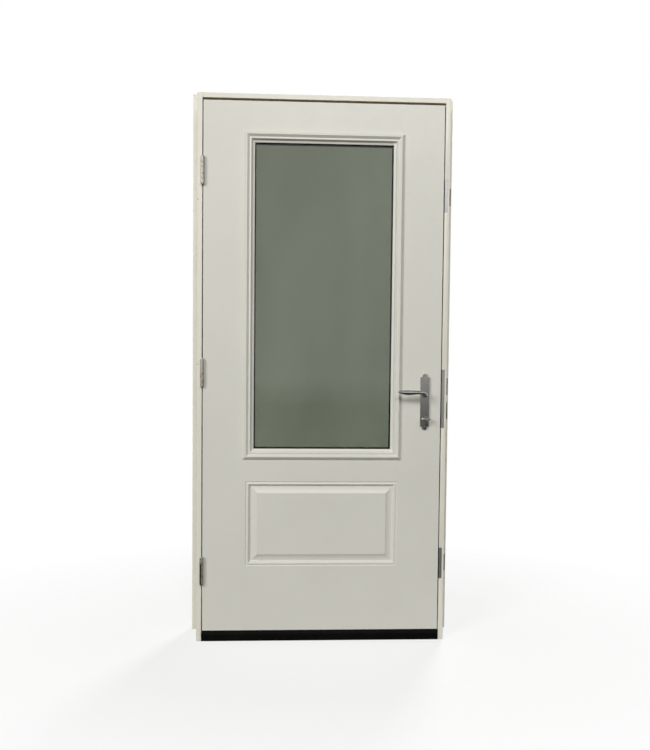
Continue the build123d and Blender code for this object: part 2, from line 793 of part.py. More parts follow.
# Rails between the stiles
with BuildPart() as top_rail:
    block((core_hinge_x, core_lock_x), (inner_face_y, inner_back_y), (leaf_top - top_rail_height, leaf_top))
top_rail.part.label = "top_rail"
export_step(top_rail.part, "parts/top_rail.step")

with BuildPart() as bottom_rail:
    block((core_hinge_x, core_lock_x), (inner_face_y, inner_back_y),
          (leaf_bottom, leaf_bottom + bottom_rail_height))
bottom_rail.part.label = "bottom_rail"
export_step(bottom_rail.part, "parts/bottom_rail.step")

# Foam core, open at the lite and shaped to the back of both panel mouldings
with BuildPart() as foam_core:
    block((core_hinge_x, core_lock_x), (inner_face_y, inner_back_y),
          (leaf_bottom + bottom_rail_height, leaf_top - top_rail_height))
    block(about(0, cutout_width), (face_y, back_y), about(lite_middle, cutout_height), Mode.SUBTRACT)
    for name, outward, skin_y in sides:
        with BuildLine(upright(skin_y)):
            Polyline(*ring_corners(panel_width, panel_height, panel_bottom), close=True)
        with BuildSketch(ring_section(skin_y, panel_bottom, outward)):
            Polygon(*panel_rear, (panel_moulding, overrun), (0, overrun), align=None)
        sweep(transition=Transition.RIGHT, mode=Mode.SUBTRACT)
        block(about(0, field_width), about(skin_y, 2 * (field_depth + skin_thickness)),
              about(panel_middle, field_height), Mode.SUBTRACT)
foam_core.part.label = "foam_core"
export_step(foam_core.part, "parts/foam_core.step")

# Lite frames: a moulded face, a lip on the glass and a leg that meets its twin in the middle of the leaf
leg_start = lite_lap + lite_leg_clearance
lip_depth = glass_depth - tape_thickness
lite_outline = [(across * lite_face, out * lite_proud) for across, out in lite_profile_shares] + [
    (lite_face, -lip_depth), (leg_start + lite_leg, -lip_depth), (leg_start + lite_leg, -leaf_thickness / 2),
    (leg_start, -leaf_thickness / 2), (leg_start, 0),
]
for name, outward, skin_y in sides:
    with BuildPart() as lite_frame:
        with BuildLine(upright(skin_y)):
            Polyline(*ring_corners(lite_width, lite_height, lite_bottom), close=True)
        with BuildSketch(ring_section(skin_y, lite_bottom, outward)):
            Polygon(*lite_outline, align=None)
        sweep(transition=Transition.RIGHT)
    lite_frame.part.label = f"lite_frame_{name}"
    export_step(lite_frame.part, f"parts/lite_frame_{name}.step")

# Panes of the insulated glass
for name, outward, skin_y in sides:
    with BuildPart() as pane:
        with BuildSketch(upright(skin_y - outward * glass_depth)):
            with Locations((0, lite_middle)):
                Rectangle(glass_width, glass_height)
        extrude(amount=outward * pane_thickness)
    pane.part.label = f"glass_{name}"
    export_step(pane.part, f"parts/glass_{name}.step")

# Spacer between the panes
with BuildPart() as glass_spacer:
    with BuildSketch(upright(middle_y)):
        with Locations((0, lite_middle)):
            Rectangle(glass_width - 2 * spacer_inset, glass_height - 2 * spacer_inset)
            Rectangle(glass_width - 2 * (spacer_inset + spacer_width),
                      glass_height - 2 * (spacer_inset + spacer_width), mode=Mode.SUBTRACT)
    extrude(amount=pane_gap / 2, both=True)
glass_spacer.part.label = "glass_spacer"
export_step(glass_spacer.part, "parts/glass_spacer.step")

# Glazing tape between each lip and its pane
with BuildPart() as glazing_tape:
    for name, outward, skin_y in sides:
        with BuildSketch(upright(skin_y - outward * lip_depth)):
            with Locations((0, lite_middle)):
                Rectangle(sight_width + 2 * tape_width, sight_height + 2 * tape_width)
                Rectangle(sight_width, sight_height, mode=Mode.SUBTRACT)
        extrude(amount=outward * tape_thickness)
glazing_tape.part.label = "glazing_tape"
export_step(glazing_tape.part, "parts/glazing_tape.step")

# Door sweep: a base under the leaf with fins that close on the cap
with BuildPart() as door_sweep:
    sweep_span = (face_y + sweep_inset, back_y - sweep_inset)
    block((-leaf_half, leaf_half), sweep_span, (leaf_bottom - sweep_base, leaf_bottom))
    for share in sweep_fin_shares:
        fin_y = sweep_span[0] + share * (sweep_span[1] - sweep_span[0])
        block((-leaf_half, leaf_half), about(fin_y, sweep_fin),
              (cap_top + soft_clearance, leaf_bottom - sweep_base))
door_sweep.part.label = "door_sweep"
export_step(door_sweep.part, "parts/door_sweep.step")

# Faceplate along the lock edge, with a window for each bolt
bolt_heights = {upper_tongue_z: tongue_height, latch_z: latch_height, deadbolt_z: deadbolt_height,
                lower_tongue_z: tongue_height}
with BuildPart() as lock_faceplate:
    block((faceplate_x, leaf_half), about(middle_y, faceplate_width), faceplate_span)
    for level, height in bolt_heights.items():
        block((faceplate_x - overrun, leaf_half + overrun), about(middle_y, bolt_width + 2 * slide_clearance),
              about(level, height + 2 * slide_clearance), Mode.SUBTRACT)
lock_faceplate.part.label = "lock_faceplate"
export_step(lock_faceplate.part, "parts/lock_faceplate.step")


def rod_slot(z_span):
    """Slot in the end walls of a case for a drive rod."""
    block((channel_x, rod_x + slide_clearance), about(middle_y, rod_width + 2 * slide_clearance), z_span,
          Mode.SUBTRACT)


# Centre lock case: a steel shell closed by the faceplate
with BuildPart() as lock_case:
    block((case_x, faceplate_x), about(middle_y, case_width), (case_bottom, case_top))
    offset(amount=-case_wall, openings=lock_case.faces().sort_by(Axis.X)[-1])
    handle_holes((face_y, back_y), [(lever_z, follower_radius + hub_clearance),
                                    (turn_z, cylinder_radius + screw_fit)])
    rod_slot((case_bottom - overrun, case_bottom + overrun))
    rod_slot((case_top - overrun, case_top + overrun))
lock_case.part.label = "lock_case"
export_step(lock_case.part, "parts/lock_case.step")

# Tongue cases at the ends of the lock
with BuildPart() as tongue_cases:
    for level in (upper_tongue_z, lower_tongue_z):
        block((tongue_case_x, faceplate_x), about(middle_y, case_width), about(level, tongue_case_height))
        block((tongue_case_x + case_wall, faceplate_x + overrun), about(middle_y, case_width - 2 * case_wall),
              about(level, tongue_case_height - 2 * case_wall), Mode.SUBTRACT)
    rod_slot((lower_tongue_z, upper_tongue_z))
tongue_cases.part.label = "tongue_cases"
export_step(tongue_cases.part, "parts/tongue_cases.step")

# Latch bolt with its nose bevelled on the closing side, out in the strike
latch_back = bolt_x - latch_length
latch_nose = leaf_half + latch_throw
with BuildPart() as latch_bolt:
    with BuildSketch(Plane.XY.offset(latch_z - latch_height / 2)):
        with BuildLine():
            Polyline(
                (latch_back, middle_y - bolt_width / 2), (latch_nose, middle_y - bolt_width / 2),
                (latch_nose, middle_y - bolt_width / 2 + bolt_nose), (leaf_half, middle_y + bolt_width / 2),
                (latch_back, middle_y + bolt_width / 2), close=True,
            )
        make_face()
    extrude(amount=latch_height)
    block((case_x + latch_throw + 2 * case_wall, latch_back), about(middle_y, bolt_width / 2),
          (latch_z + latch_height / 2 - latch_tail_height, latch_z + latch_height / 2))
latch_bolt.part.label = "latch_bolt"
export_step(latch_bolt.part, "parts/latch_bolt.step")


def square_bolt(level, height, length):
    """Square bolt that lies flush in the faceplate, with an eased nose."""
    block((bolt_x - length, bolt_x), about(middle_y, bolt_width), about(level, height))
    chamfer(faces().sort_by(Axis.X)[-1].edges(), bolt_nose)


with BuildPart() as deadbolt:
    square_bolt(deadbolt_z, deadbolt_height, deadbolt_length)
deadbolt.part.label = "deadbolt"
export_step(deadbolt.part, "parts/deadbolt.step")

# Tongues at the ends of the lock
for name, level in (("top", upper_tongue_z), ("bottom", lower_tongue_z)):
    with BuildPart() as tongue:
        square_bolt(level, tongue_height, tongue_length)
    tongue.part.label = f"tongue_{name}"
    export_step(tongue.part, f"parts/tongue_{name}.step")

# Drive rods from the centre case into the tongue cases
rod_spans = {
    "upper": (latch_z + latch_height / 2 + rod_bolt_gap, upper_tongue_z - tongue_case_height / 2 + rod_entry),
    "lower": (lower_tongue_z + tongue_case_height / 2 - rod_entry,
              deadbolt_z - deadbolt_height / 2 - rod_bolt_gap),
}
for name, span in rod_spans.items():
    with BuildPart() as drive_rod:
        block((rod_x - rod_thickness, rod_x), about(middle_y, rod_width), span)
    drive_rod.part.label = f"drive_rod_{name}"
    export_step(drive_rod.part, f"parts/drive_rod_{name}.step")

# Backplates: long plates with an arched ear for a screw at each end
plate_face = face_y - plate_thickness
plate_screw_places = [Plane(origin=(lock_x, plate_face, z), z_dir=(0, -1, 0)) for z in plate_screw_z]
plate_screw_length = plate_thickness + leaf_thickness + plate_thickness / 2
with BuildPart() as plate_screw:
    with BuildSketch():
        RegularPolygon(plate_screw_shank_radius, screw_sides)
    extrude(amount=-plate_screw_length)
    with BuildSketch():
        RegularPolygon(plate_screw_head_radius, screw_sides)
    extrude(amount=plate_screw_shank_radius - plate_screw_head_radius, taper=countersink_taper)

with BuildPart() as plate_screw_hole:
    with BuildSketch():
        RegularPolygon(plate_screw_shank_radius + screw_fit, screw_sides)
    extrude(amount=-plate_screw_length - screw_fit)
    with BuildSketch():
        RegularPolygon(plate_screw_head_radius + screw_fit, screw_sides)
    extrude(amount=plate_screw_shank_radius - plate_screw_head_radius, taper=countersink_taper)

for name, outward, skin_y in sides:
    with BuildPart() as backplate:
        with BuildSketch(upright(skin_y)) as outline:
            with Locations((lock_x, plate_middle)):
                Rectangle(plate_width, plate_body_height)
            with Locations(*[(lock_x, z) for z in plate_screw_z]):
                Circle(plate_ear_radius)
            nooks = sorted(outline.vertices(), key=lambda corner: abs(corner.X - lock_x))[:4]
            fillet(nooks, plate_shoulder_round)
        extrude(amount=-outward * plate_thickness)
        front = backplate.faces().filter_by(Axis.Y).sort_by(Axis.Y)[-1 if outward > 0 else 0]
        chamfer(front.edges(), plate_bevel)
        handle_holes(about(skin_y, 2 * plate_thickness), [lever_bore, turn_bores[name]])
        drill(plate_screw_hole, plate_screw_places)
    backplate.part.label = f"backplate_{name}"
    export_step(backplate.part, f"parts/backplate_{name}.step")

# Through screws from the interior plate into the exterior one
with BuildPart() as backplate_screws:
    drive(plate_screw, plate_screw_places)
backplate_screws.part.label = "backplate_screws"
export_step(backplate_screws.part, "parts/backplate_screws.step")

# Interior lever: a collar and shank in the plate, a neck and a grip that sweeps up and thins to its tip
lever_turns = [radians(360 * side / lever_sides) for side in range(lever_sides)]
with BuildPart() as lever_interior:
    for reach, stand, rise, bend, thick, tall in lever_section_shares:
        angle = radians(bend)
        place = Plane(
            origin=(lock_x - reach * lever_reach, face_y - stand * lever_stand, lever_z + rise * lever_rise),
            x_dir=(cos(angle), -sin(angle), 0), z_dir=(-sin(angle), -cos(angle), 0),
        )
        with BuildSketch(place):
            Polygon(*[(thick * lever_grip_thickness / 2 * cos(turn), tall * lever_grip_height / 2 * sin(turn))
                      for turn in lever_turns], align=None)
    loft(ruled=True)
    with BuildSketch(upright(plate_face - hub_clearance)):
        with Locations((lock_x, lever_z)):
            Circle(lever_collar_radius)
    extrude(amount=lever_collar_height, taper=lever_collar_taper)
    with BuildSketch(upright(plate_face - hub_clearance)):
        with Locations((lock_x, lever_z)):
            Circle(lever_shank_radius)
    extrude(amount=-lever_shank_entry)
    with BuildSketch(upright(plate_face - hub_clearance + lever_shank_entry)):
        with Locations((lock_x, lever_z)):
            Rectangle(spindle_side + 2 * spindle_fit, spindle_side + 2 * spindle_fit)
    extrude(amount=lever_socket_depth, mode=Mode.SUBTRACT)
lever_interior.part.label = "lever_interior"
export_step(lever_interior.part, "parts/lever_interior.step")

# Exterior lever, the same casting mirrored through the leaf
with BuildPart() as lever_exterior:
    mirror(lever_interior.part, about=upright(middle_y))
lever_exterior.part.label = "lever_exterior"
export_step(lever_exterior.part, "parts/lever_exterior.step")

# Spindle between the sockets of both levers
spindle_end = plate_face - hub_clearance + lever_shank_entry - lever_socket_depth + spindle_fit
with BuildPart() as spindle:
    with BuildSketch(upright(middle_y)):
        with Locations((lock_x, lever_z)):
            Rectangle(spindle_side, spindle_side)
    extrude(amount=middle_y - spindle_end, both=True)
spindle.part.label = "spindle"
export_step(spindle.part, "parts/spindle.step")

# Follower on the spindle, with the arm that draws the latch
with BuildPart() as lock_follower:
    with BuildSketch(upright(middle_y)):
        with Locations((lock_x, lever_z)):
            Circle(follower_radius)
    extrude(amount=case_width / 2, both=True)
    block(about(lock_x, follower_arm), about(middle_y, bolt_width / 2),
          (lever_z, lever_z + follower_arm_reach))
    with BuildSketch(upright(middle_y)):
        with Locations((lock_x, lever_z)):
            Rectangle(spindle_side + 2 * spindle_fit, spindle_side + 2 * spindle_fit)
    extrude(amount=case_width, both=True, mode=Mode.SUBTRACT)
lock_follower.part.label = "lock_follower"
export_step(lock_follower.part, "parts/lock_follower.step")

# Thumb-turn: a collar, a stem and a grip with a bulb and a tail, on a shaft with its cam in the case
turn_lean = asin((turn_bulb_radius - turn_tail_radius) / (turn_bulb_reach + turn_tail_reach))
turn_ends = [(lock_x - turn_bulb_reach, turn_bulb_radius), (lock_x + turn_tail_reach, turn_tail_radius)]
turn_sides = [
    (x + radius * sin(turn_lean), turn_z + side * radius * cos(turn_lean))
    for side, ends in ((1, turn_ends), (-1, turn_ends[::-1])) for x, radius in ends
]
with BuildPart() as thumb_turn:
    with BuildSketch(upright(plate_face - hub_clearance)):
        with Locations((lock_x, turn_z)):
            Circle(turn_collar_radius)
    extrude(amount=turn_collar_height, taper=turn_collar_taper)
    with BuildSketch(upright(plate_face - hub_clearance)):
        with Locations((lock_x, turn_z)):
            Circle(turn_stem_radius)
    extrude(amount=turn_collar_height + turn_stem_height)
    grip_y = plate_face - hub_clearance - turn_collar_height - turn_stem_height
    with BuildSketch(upright(grip_y)):
        for x, radius in turn_ends:
            with Locations((x, turn_z)):
                Circle(radius)
        Polygon(*turn_sides, align=None)
    extrude(amount=turn_grip_height)
    chamfer(thumb_turn.faces().sort_by(Axis.Y)[0].edges(), turn_grip_edge)
    with BuildSketch(upright(plate_face - hub_clearance)):
        with Locations((lock_x, turn_z)):
            Circle(turn_shaft_radius)
    extrude(amount=plate_face - hub_clearance - middle_y)
    with BuildSketch(upright(middle_y)):
        with Locations((lock_x, turn_z)):
            Circle(cam_radius)
    extrude(amount=cam_thickness / 2, both=True)
thumb_turn.part.label = "thumb_turn"
export_step(thumb_turn.part, "parts/thumb_turn.step")

# Key cylinder in the exterior plate, with a bare keyway
cylinder_inner_y = middle_y + cam_thickness / 2 + slide_clearance
cylinder_front_y = back_y + plate_thickness
with BuildPart() as key_cylinder:
    with BuildSketch(upright(cylinder_front_y)):
        with Locations((lock_x, turn_z)):
            Circle(cylinder_radius)
    extrude(amount=cylinder_front_y - cylinder_inner_y)
    with BuildSketch(upright(cylinder_front_y)):
        with Locations((lock_x, turn_z)):
            Circle(cylinder_collar_radius)
    extrude(amount=-cylinder_collar_height, taper=cylinder_collar_taper)
    with BuildSketch(upright(cylinder_front_y + cylinder_collar_height)):
        with Locations((lock_x, turn_z)):
            Rectangle(keyway_width, keyway_height)
    extrude(amount=keyway_depth, mode=Mode.SUBTRACT)
key_cylinder.part.label = "key_cylinder"
export_step(key_cylinder.part, "parts/key_cylinder.step")
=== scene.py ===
import json
import math

import bmesh
import bpy
from bpy.props import FloatProperty, FloatVectorProperty, IntProperty, PointerProperty
from mathutils import Matrix, Vector


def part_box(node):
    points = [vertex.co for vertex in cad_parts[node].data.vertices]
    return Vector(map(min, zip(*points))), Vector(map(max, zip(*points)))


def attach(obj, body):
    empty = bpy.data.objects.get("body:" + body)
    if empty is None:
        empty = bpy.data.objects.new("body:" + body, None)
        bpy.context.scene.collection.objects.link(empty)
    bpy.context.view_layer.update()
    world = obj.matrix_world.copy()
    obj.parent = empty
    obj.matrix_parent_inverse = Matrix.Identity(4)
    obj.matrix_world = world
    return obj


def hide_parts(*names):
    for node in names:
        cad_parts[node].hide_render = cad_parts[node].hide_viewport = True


bl_info = {
    "name": "Glazed entry door",
    "version": (1, 0, 0),
    "blender": (4, 5, 0),
    "location": "View3D > Sidebar > Door",
    "description": "Dresses a hung entry door with paint, glass, metal and small fittings",
    "category": "Add Mesh",
}

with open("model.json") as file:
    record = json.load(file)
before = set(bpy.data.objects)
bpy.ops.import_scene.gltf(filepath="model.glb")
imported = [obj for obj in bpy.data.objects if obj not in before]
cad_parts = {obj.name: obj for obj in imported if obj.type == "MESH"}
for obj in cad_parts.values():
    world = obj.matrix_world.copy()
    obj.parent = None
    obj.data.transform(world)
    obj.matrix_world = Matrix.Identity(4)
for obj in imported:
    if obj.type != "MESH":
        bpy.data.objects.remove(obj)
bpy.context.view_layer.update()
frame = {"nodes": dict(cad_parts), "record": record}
NODES = frame["nodes"]
RECORD = frame["record"]
BODY_OF = {node: body for body, nodes in RECORD["behaviour"]["bodies"].items() for node in nodes}
SLOT_OF = {row["node"]: row["material_slot"] for row in RECORD["subparts"]}
MM = 0.001
# Distance under which two points are one, and share of an edge too near its end to be split there
NEAR = 2e-6
END_SHARE = 1e-4
# Angles in degrees: faces this flat to each other are joined, edges sharper than these are rounded,
# and edges of the mouldings and the lever sharper than these stay crisp
FLAT_ANGLE = 0.4
EASED_ANGLE = 28.0
TURNED_ANGLE = 24.0
MOULDING_ANGLE = 35.0
LEVER_ANGLE = 38.0


def colour_prop(name, description, default):
    """Linear colour that a user may change."""
    return FloatVectorProperty(name=name, description=description, subtype="COLOR", size=3,
                               min=0.0, max=1.0, default=default)


def number_prop(name, description, default):
    """Plain number that a user may change."""
    return FloatProperty(name=name, description=description, default=default)


def length_prop(name, description, default):
    """Length in metres that a user may change."""
    return FloatProperty(name=name, description=description, unit="LENGTH", min=0.0, precision=5,
                         default=default)


class DoorColours(bpy.types.PropertyGroup):
    """Colours of the door's finishes."""
    leaf: colour_prop("Leaf paint", "Paint of the skins and the lite frames", (0.72, 0.715, 0.648))
    boards: colour_prop("Frame paint", "Paint of the jambs and casings", (0.80, 0.785, 0.685))
    edges: colour_prop("Leaf edges", "Bare wood on the edges of the leaf", (0.34, 0.205, 0.12))
    glass: colour_prop("Glass", "Tint of one pane", (0.365, 0.392, 0.335))
    black: colour_prop("Black plastic", "Sill, spacer and dust boxes", (0.003, 0.003, 0.0025))
    cap: colour_prop("Threshold cap", "Cap that the sweep closes on", (0.006, 0.006, 0.0055))
    rubber: colour_prop("Seals", "Weatherstrips, pads, tape and sweep", (0.008, 0.0075, 0.007))
    deck: colour_prop("Sill deck", "Dark anodised deck", (0.045, 0.042, 0.038))
    hinge: colour_prop("Hinge metal", "Dull nickel of the hinges", (0.40, 0.385, 0.33))
    grime: colour_prop("Grime", "Dirt in the hinges", (0.10, 0.075, 0.045))
    rust: colour_prop("Rust", "Brown stain on the lowest hinge", (0.035, 0.016, 0.009))
    nail: colour_prop("Nail marks", "Small marks on the hinge jamb", (0.30, 0.21, 0.14))
    nickel: colour_prop("Handle metal", "Satin nickel of the handle set", (0.355, 0.35, 0.33))
    zinc: colour_prop("Lock metal", "Zinc plate of the lock and the strikes", (0.37, 0.375, 0.36))
    foam: colour_prop("Core", "Rigid foam inside the leaf", (0.62, 0.55, 0.33))


class DoorSizes(bpy.types.PropertyGroup):
    """Sizes of the finishing work."""
    board_edge: length_prop("Board edge", "Rounding of painted wood", 0.8 * MM)
    metal_edge: length_prop("Metal edge", "Rounding of plates and hinges", 0.3 * MM)
    plate_edge: length_prop("Plate edge", "Rounding of the handle plates", 0.7 * MM)
    turn_edge: length_prop("Thumb-turn edge", "Rounding of the thumb-turn", 0.4 * MM)
    plastic_edge: length_prop("Plastic edge", "Rounding of the sill's pieces", 0.5 * MM)
    lite_round: length_prop("Lite rounding", "Rounding of the lite frame's mouldings", 1.3 * MM)
    skin_roll: length_prop("Skin edge", "Rounding of the upright edges of the skins", 1.5 * MM)
    panel_round: length_prop("Panel rounding", "Rounding of the panel's mouldings", 1.2 * MM)
    screw_head: length_prop("Screw head", "Head radius of the wood screws", 4.4 * MM)
    screw_shank: length_prop("Screw shank", "Shank radius of the wood screws", 2.3 * MM)
    screw_length: length_prop("Screw length", "Length of the wood screws", 16.0 * MM)
    plate_screw_head: length_prop("Plate screw head", "Head radius of plate screws", 4.2 * MM)
    plate_screw_shank: length_prop("Plate screw shank", "Shank radius of plate screws", 2.5 * MM)
    plate_screw_length: length_prop("Plate screw length", "Length of plate screws", 58.0 * MM)
    screw_sides: IntProperty(name="Screw sides", description="Sides of a screw",
                             min=8, max=64, default=28)


class StageSettings(bpy.types.PropertyGroup):
    """Camera and light."""
    camera: FloatVectorProperty(name="Camera", description="Place of the camera",
                                subtype="XYZ", size=3, default=(-0.108, -2.719, 1.131))
    yaw: number_prop("Yaw", "Turn to the right in degrees", 2.51)
    pitch: number_prop("Pitch", "Tilt up in degrees", -2.25)
    roll: number_prop("Roll", "Turn about the view in degrees", 0.56)
    lens: number_prop("Lens", "Focal length in millimetres", 33.6)
    floor: colour_prop("Floor", "Colour of the floor", (0.92, 0.92, 0.92))
    bounce: colour_prop("Bounce", "Colour that the floor throws at the door", (0.25, 0.25, 0.25))
    glow: number_prop("Floor glow", "Share of plain white in the floor's look", 0.70)
    sky: number_prop("Sky", "Strength of the light all round", 0.03)
    room_low: number_prop("Room below", "Light from low in front, in mirrors", 0.03)
    room_high: number_prop("Room ahead", "Light from the front, in mirrors", 1.0)
    room_top: number_prop("Room above", "Light from overhead, in mirrors", 0.10)
    key: number_prop("Key light", "Power of the lamp in front in watts", 600.0)
    sheen: number_prop("Sheen", "Share of the lamp in front that metal mirrors", 0.65)
    side: number_prop("Side light", "Power of the lamp on the left in watts", 680.0)
    fill: number_prop("Fill light", "Power of the lamp on the right in watts", 42.0)
    back: number_prop("Back light", "Power of the lamp behind the door in watts", 700.0)


def settings():
    """Shorthand for the scene's three groups of settings."""
    scene = bpy.context.scene
    return scene.door_colours, scene.door_sizes, scene.door_stage


def feed(tree, socket, value):
    """Links an output to a socket, or sets the socket's own value."""
    if isinstance(value, bpy.types.NodeSocket):
        tree.links.new(value, socket)
    elif hasattr(value, "__len__") and not isinstance(value, str):
        opaque = (1.0,) if len(socket.default_value) > len(value) else ()
        socket.default_value = tuple(value) + opaque
    else:
        socket.default_value = value


def add_node(tree, kind, values=None, **fields):
    """Adds a node, sets its fields, and sets or links its inputs."""
    made = tree.nodes.new(kind)
    for key, value in fields.items():
        setattr(made, key, value)
    for key, value in (values or {}).items():
        feed(tree, made.inputs[key], value)
    return made


class Shader:
    """Small helper that grows a material's node tree."""

    def __init__(self, name):
        self.material = bpy.data.materials.new(name)
        self.material.use_nodes = True
        self.tree = self.material.node_tree
        self.surface = self.tree.nodes["Principled BSDF"]
        self.place = self.tree.nodes.new("ShaderNodeTexCoord").outputs["Object"]

    def node(self, kind, values=None, **fields):
        """Adds a node to the material."""
        return add_node(self.tree, kind, values, **fields)

    def put(self, socket, value):
        """Feeds a socket of the material."""
        feed(self.tree, socket, value)

    def set(self, **inputs):
        """Sets or links the inputs of the surface."""
        for key, value in inputs.items():
            self.put(self.surface.inputs[key.replace("_", " ")], value)

    def stretch(self, scale):
        """Object coordinates, scaled apart on each axis."""
        made = self.node("ShaderNodeMapping", {"Vector": self.place, "Scale": scale})
        return made.outputs["Vector"]

    def noise(self, scale, detail=3.0, rough=0.55, vector=None):
        """Noise between 0 and 1."""
        made = self.node("ShaderNodeTexNoise", {
            "Vector": vector or self.place, "Scale": scale, "Detail": detail, "Roughness": rough,
        })
        return made.outputs["Fac"]

    def span(self, value, low, high, start=0.3, end=0.7):
        """Value mapped from start and end to low and high."""
        made = self.node("ShaderNodeMapRange", {
            "Value": value, "From Min": start, "From Max": end, "To Min": low, "To Max": high,
        })
        return made.outputs["Result"]

    def mix(self, share, first, second):
        """Colour between two colours."""
        made = self.node("ShaderNodeMix", {0: share, 6: first, 7: second}, data_type="RGBA")
        return made.outputs[2]

    def bump(self, height, strength, distance):
        """Bump from a height."""
        made = self.node("ShaderNodeBump", {
            "Height": height, "Strength": strength, "Distance": distance,
        })
        self.put(self.surface.inputs["Normal"], made.outputs["Normal"])


# Where the rust on the lowest hinge fades out, upwards and to the right, and the nail marks
RUST_HEIGHT = (0.298, 0.312)
RUST_SIDE = (-0.4565, -0.4545)
NAIL_MARKS = ((-0.4735, -0.058, 1.063), (-0.4735, -0.058, 1.681))
NAIL_RADIUS = 2.6 * MM
NAIL_CORE_SHARE = 0.6


def shade(colour, factor):
    """Colour made darker or lighter."""
    return tuple(min(1.0, part * factor) for part in colour)


def paint(name, colour, grain, nail=None):
    """Factory paint: clouding, orange peel, and grain and nail marks if the board has any."""
    made = Shader(name)
    clouds = made.noise(scale=2.6, detail=4.0)
    scuffs = made.noise(scale=38.0, detail=5.0, rough=0.65)
    tone = made.mix(made.span(clouds, 0.0, 1.0), shade(colour, 0.965), shade(colour, 1.02))
    worn = made.span(scuffs, 0.0, 0.35, start=0.58, end=0.80)
    tone = made.mix(worn, tone, shade(colour, 0.90))
    for mark in NAIL_MARKS if nail else ():
        away = made.node("ShaderNodeVectorMath", {0: made.place, 1: mark}, operation="DISTANCE")
        near = made.span(away.outputs["Value"], 1.0, 0.0,
                         start=NAIL_CORE_SHARE * NAIL_RADIUS, end=NAIL_RADIUS)
        tone = made.mix(near, tone, nail)
    made.set(Base_Color=tone, Roughness=made.span(scuffs, 0.34, 0.48))
    peel = made.noise(scale=620.0, detail=2.0)
    if grain:
        fibres = made.noise(scale=70.0, detail=4.0, rough=0.6,
                            vector=made.stretch((1.0, 1.0, 0.03)))
        peel = made.node("ShaderNodeMath", {0: peel, 1: fibres}, operation="ADD").outputs[0]
    made.bump(peel, strength=0.10, distance=0.6 * MM)
    return made.material


def wood(name, colour):
    """Bare softwood with its grain along the height."""
    made = Shader(name)
    rings = made.noise(scale=60.0, detail=5.0, rough=0.6, vector=made.stretch((1.0, 1.0, 0.04)))
    pores = made.noise(scale=420.0, detail=3.0, rough=0.6, vector=made.stretch((1.0, 1.0, 0.05)))
    tone = made.mix(made.span(rings, 0.0, 1.0), shade(colour, 0.78), shade(colour, 1.18))
    tone = made.mix(made.span(pores, 0.0, 0.4, start=0.5, end=0.75), tone, shade(colour, 0.55))
    made.set(Base_Color=tone, Roughness=0.72)
    made.bump(rings, strength=0.15, distance=0.5 * MM)
    return made.material


def metal(name, colour, rough, brush, streak=0.13, grime=None, rust=None):
    """Brushed metal, with dirt in it and rust on the lowest hinge if their colours are given."""
    made = Shader(name)
    lines = made.noise(scale=560.0, detail=2.0, rough=0.6, vector=made.stretch(brush))
    blotches = made.noise(scale=26.0, detail=4.0, rough=0.6)
    tone = made.mix(made.span(lines, 0.0, 1.0),
                    shade(colour, 1.0 - streak), shade(colour, 1.0 + streak))
    tone = made.mix(made.span(blotches, 0.0, 0.35), tone, shade(colour, 0.72))
    if grime:
        dirt = made.noise(scale=95.0, detail=5.0, rough=0.7)
        tone = made.mix(made.span(dirt, 0.0, 0.75, start=0.50, end=0.68), tone, grime)
    if rust:
        side = made.node("ShaderNodeSeparateXYZ", {0: made.place}).outputs
        worn = made.node("ShaderNodeMath", {
            0: made.span(side["Z"], 1.0, 0.0, *RUST_HEIGHT),
            1: made.span(side["X"], 1.0, 0.0, *RUST_SIDE),
        }, operation="MULTIPLY").outputs[0]
        tone = made.mix(made.span(worn, 0.0, 0.92, start=0.2, end=0.8), tone, rust)
    made.set(Base_Color=tone, Metallic=1.0,
             Roughness=made.span(lines, rough - 0.4 * streak, rough + 0.6 * streak))
    made.bump(lines, strength=0.03, distance=0.3 * MM)
    return made.material


def dark(name, colour, rough, scale, strength):
    """Dark moulded plastic or rubber with a fine matt texture and some dust."""
    made = Shader(name)
    grain = made.noise(scale=scale, detail=4.0, rough=0.6)
    dust = made.noise(scale=14.0, detail=5.0, rough=0.65)
    tone = made.mix(made.span(grain, 0.0, 1.0), shade(colour, 0.8), shade(colour, 1.25))
    dusty = tuple(part + 0.010 for part in colour)
    tone = made.mix(made.span(dust, 0.0, 0.30, start=0.5, end=0.8), tone, dusty)
    made.set(Base_Color=tone, Roughness=made.span(grain, rough - 0.06, rough + 0.06),
             Specular_IOR_Level=0.04)
    made.bump(grain, strength, distance=0.4 * MM)
    return made.material


def glass(name, colour):
    """Tinted pane with faint streaks."""
    made = Shader(name)
    streaks = made.noise(scale=3.0, detail=4.0, rough=0.6, vector=made.stretch((1.6, 1.0, 0.5)))
    tone = made.mix(made.span(streaks, 0.0, 1.0), shade(colour, 0.93), shade(colour, 1.07))
    made.set(Base_Color=tone, Transmission_Weight=1.0, IOR=1.45, Roughness=0.0)
    return made.material


def foam(name, colour):
    """Rigid foam with open cells."""
    made = Shader(name)
    cells = made.noise(scale=420.0, detail=2.0)
    tone = made.mix(made.span(cells, 0.0, 1.0), shade(colour, 0.85), shade(colour, 1.08))
    made.set(Base_Color=tone, Roughness=0.9)
    made.bump(cells, strength=0.4, distance=0.8 * MM)
    return made.material


FINISHES = {}


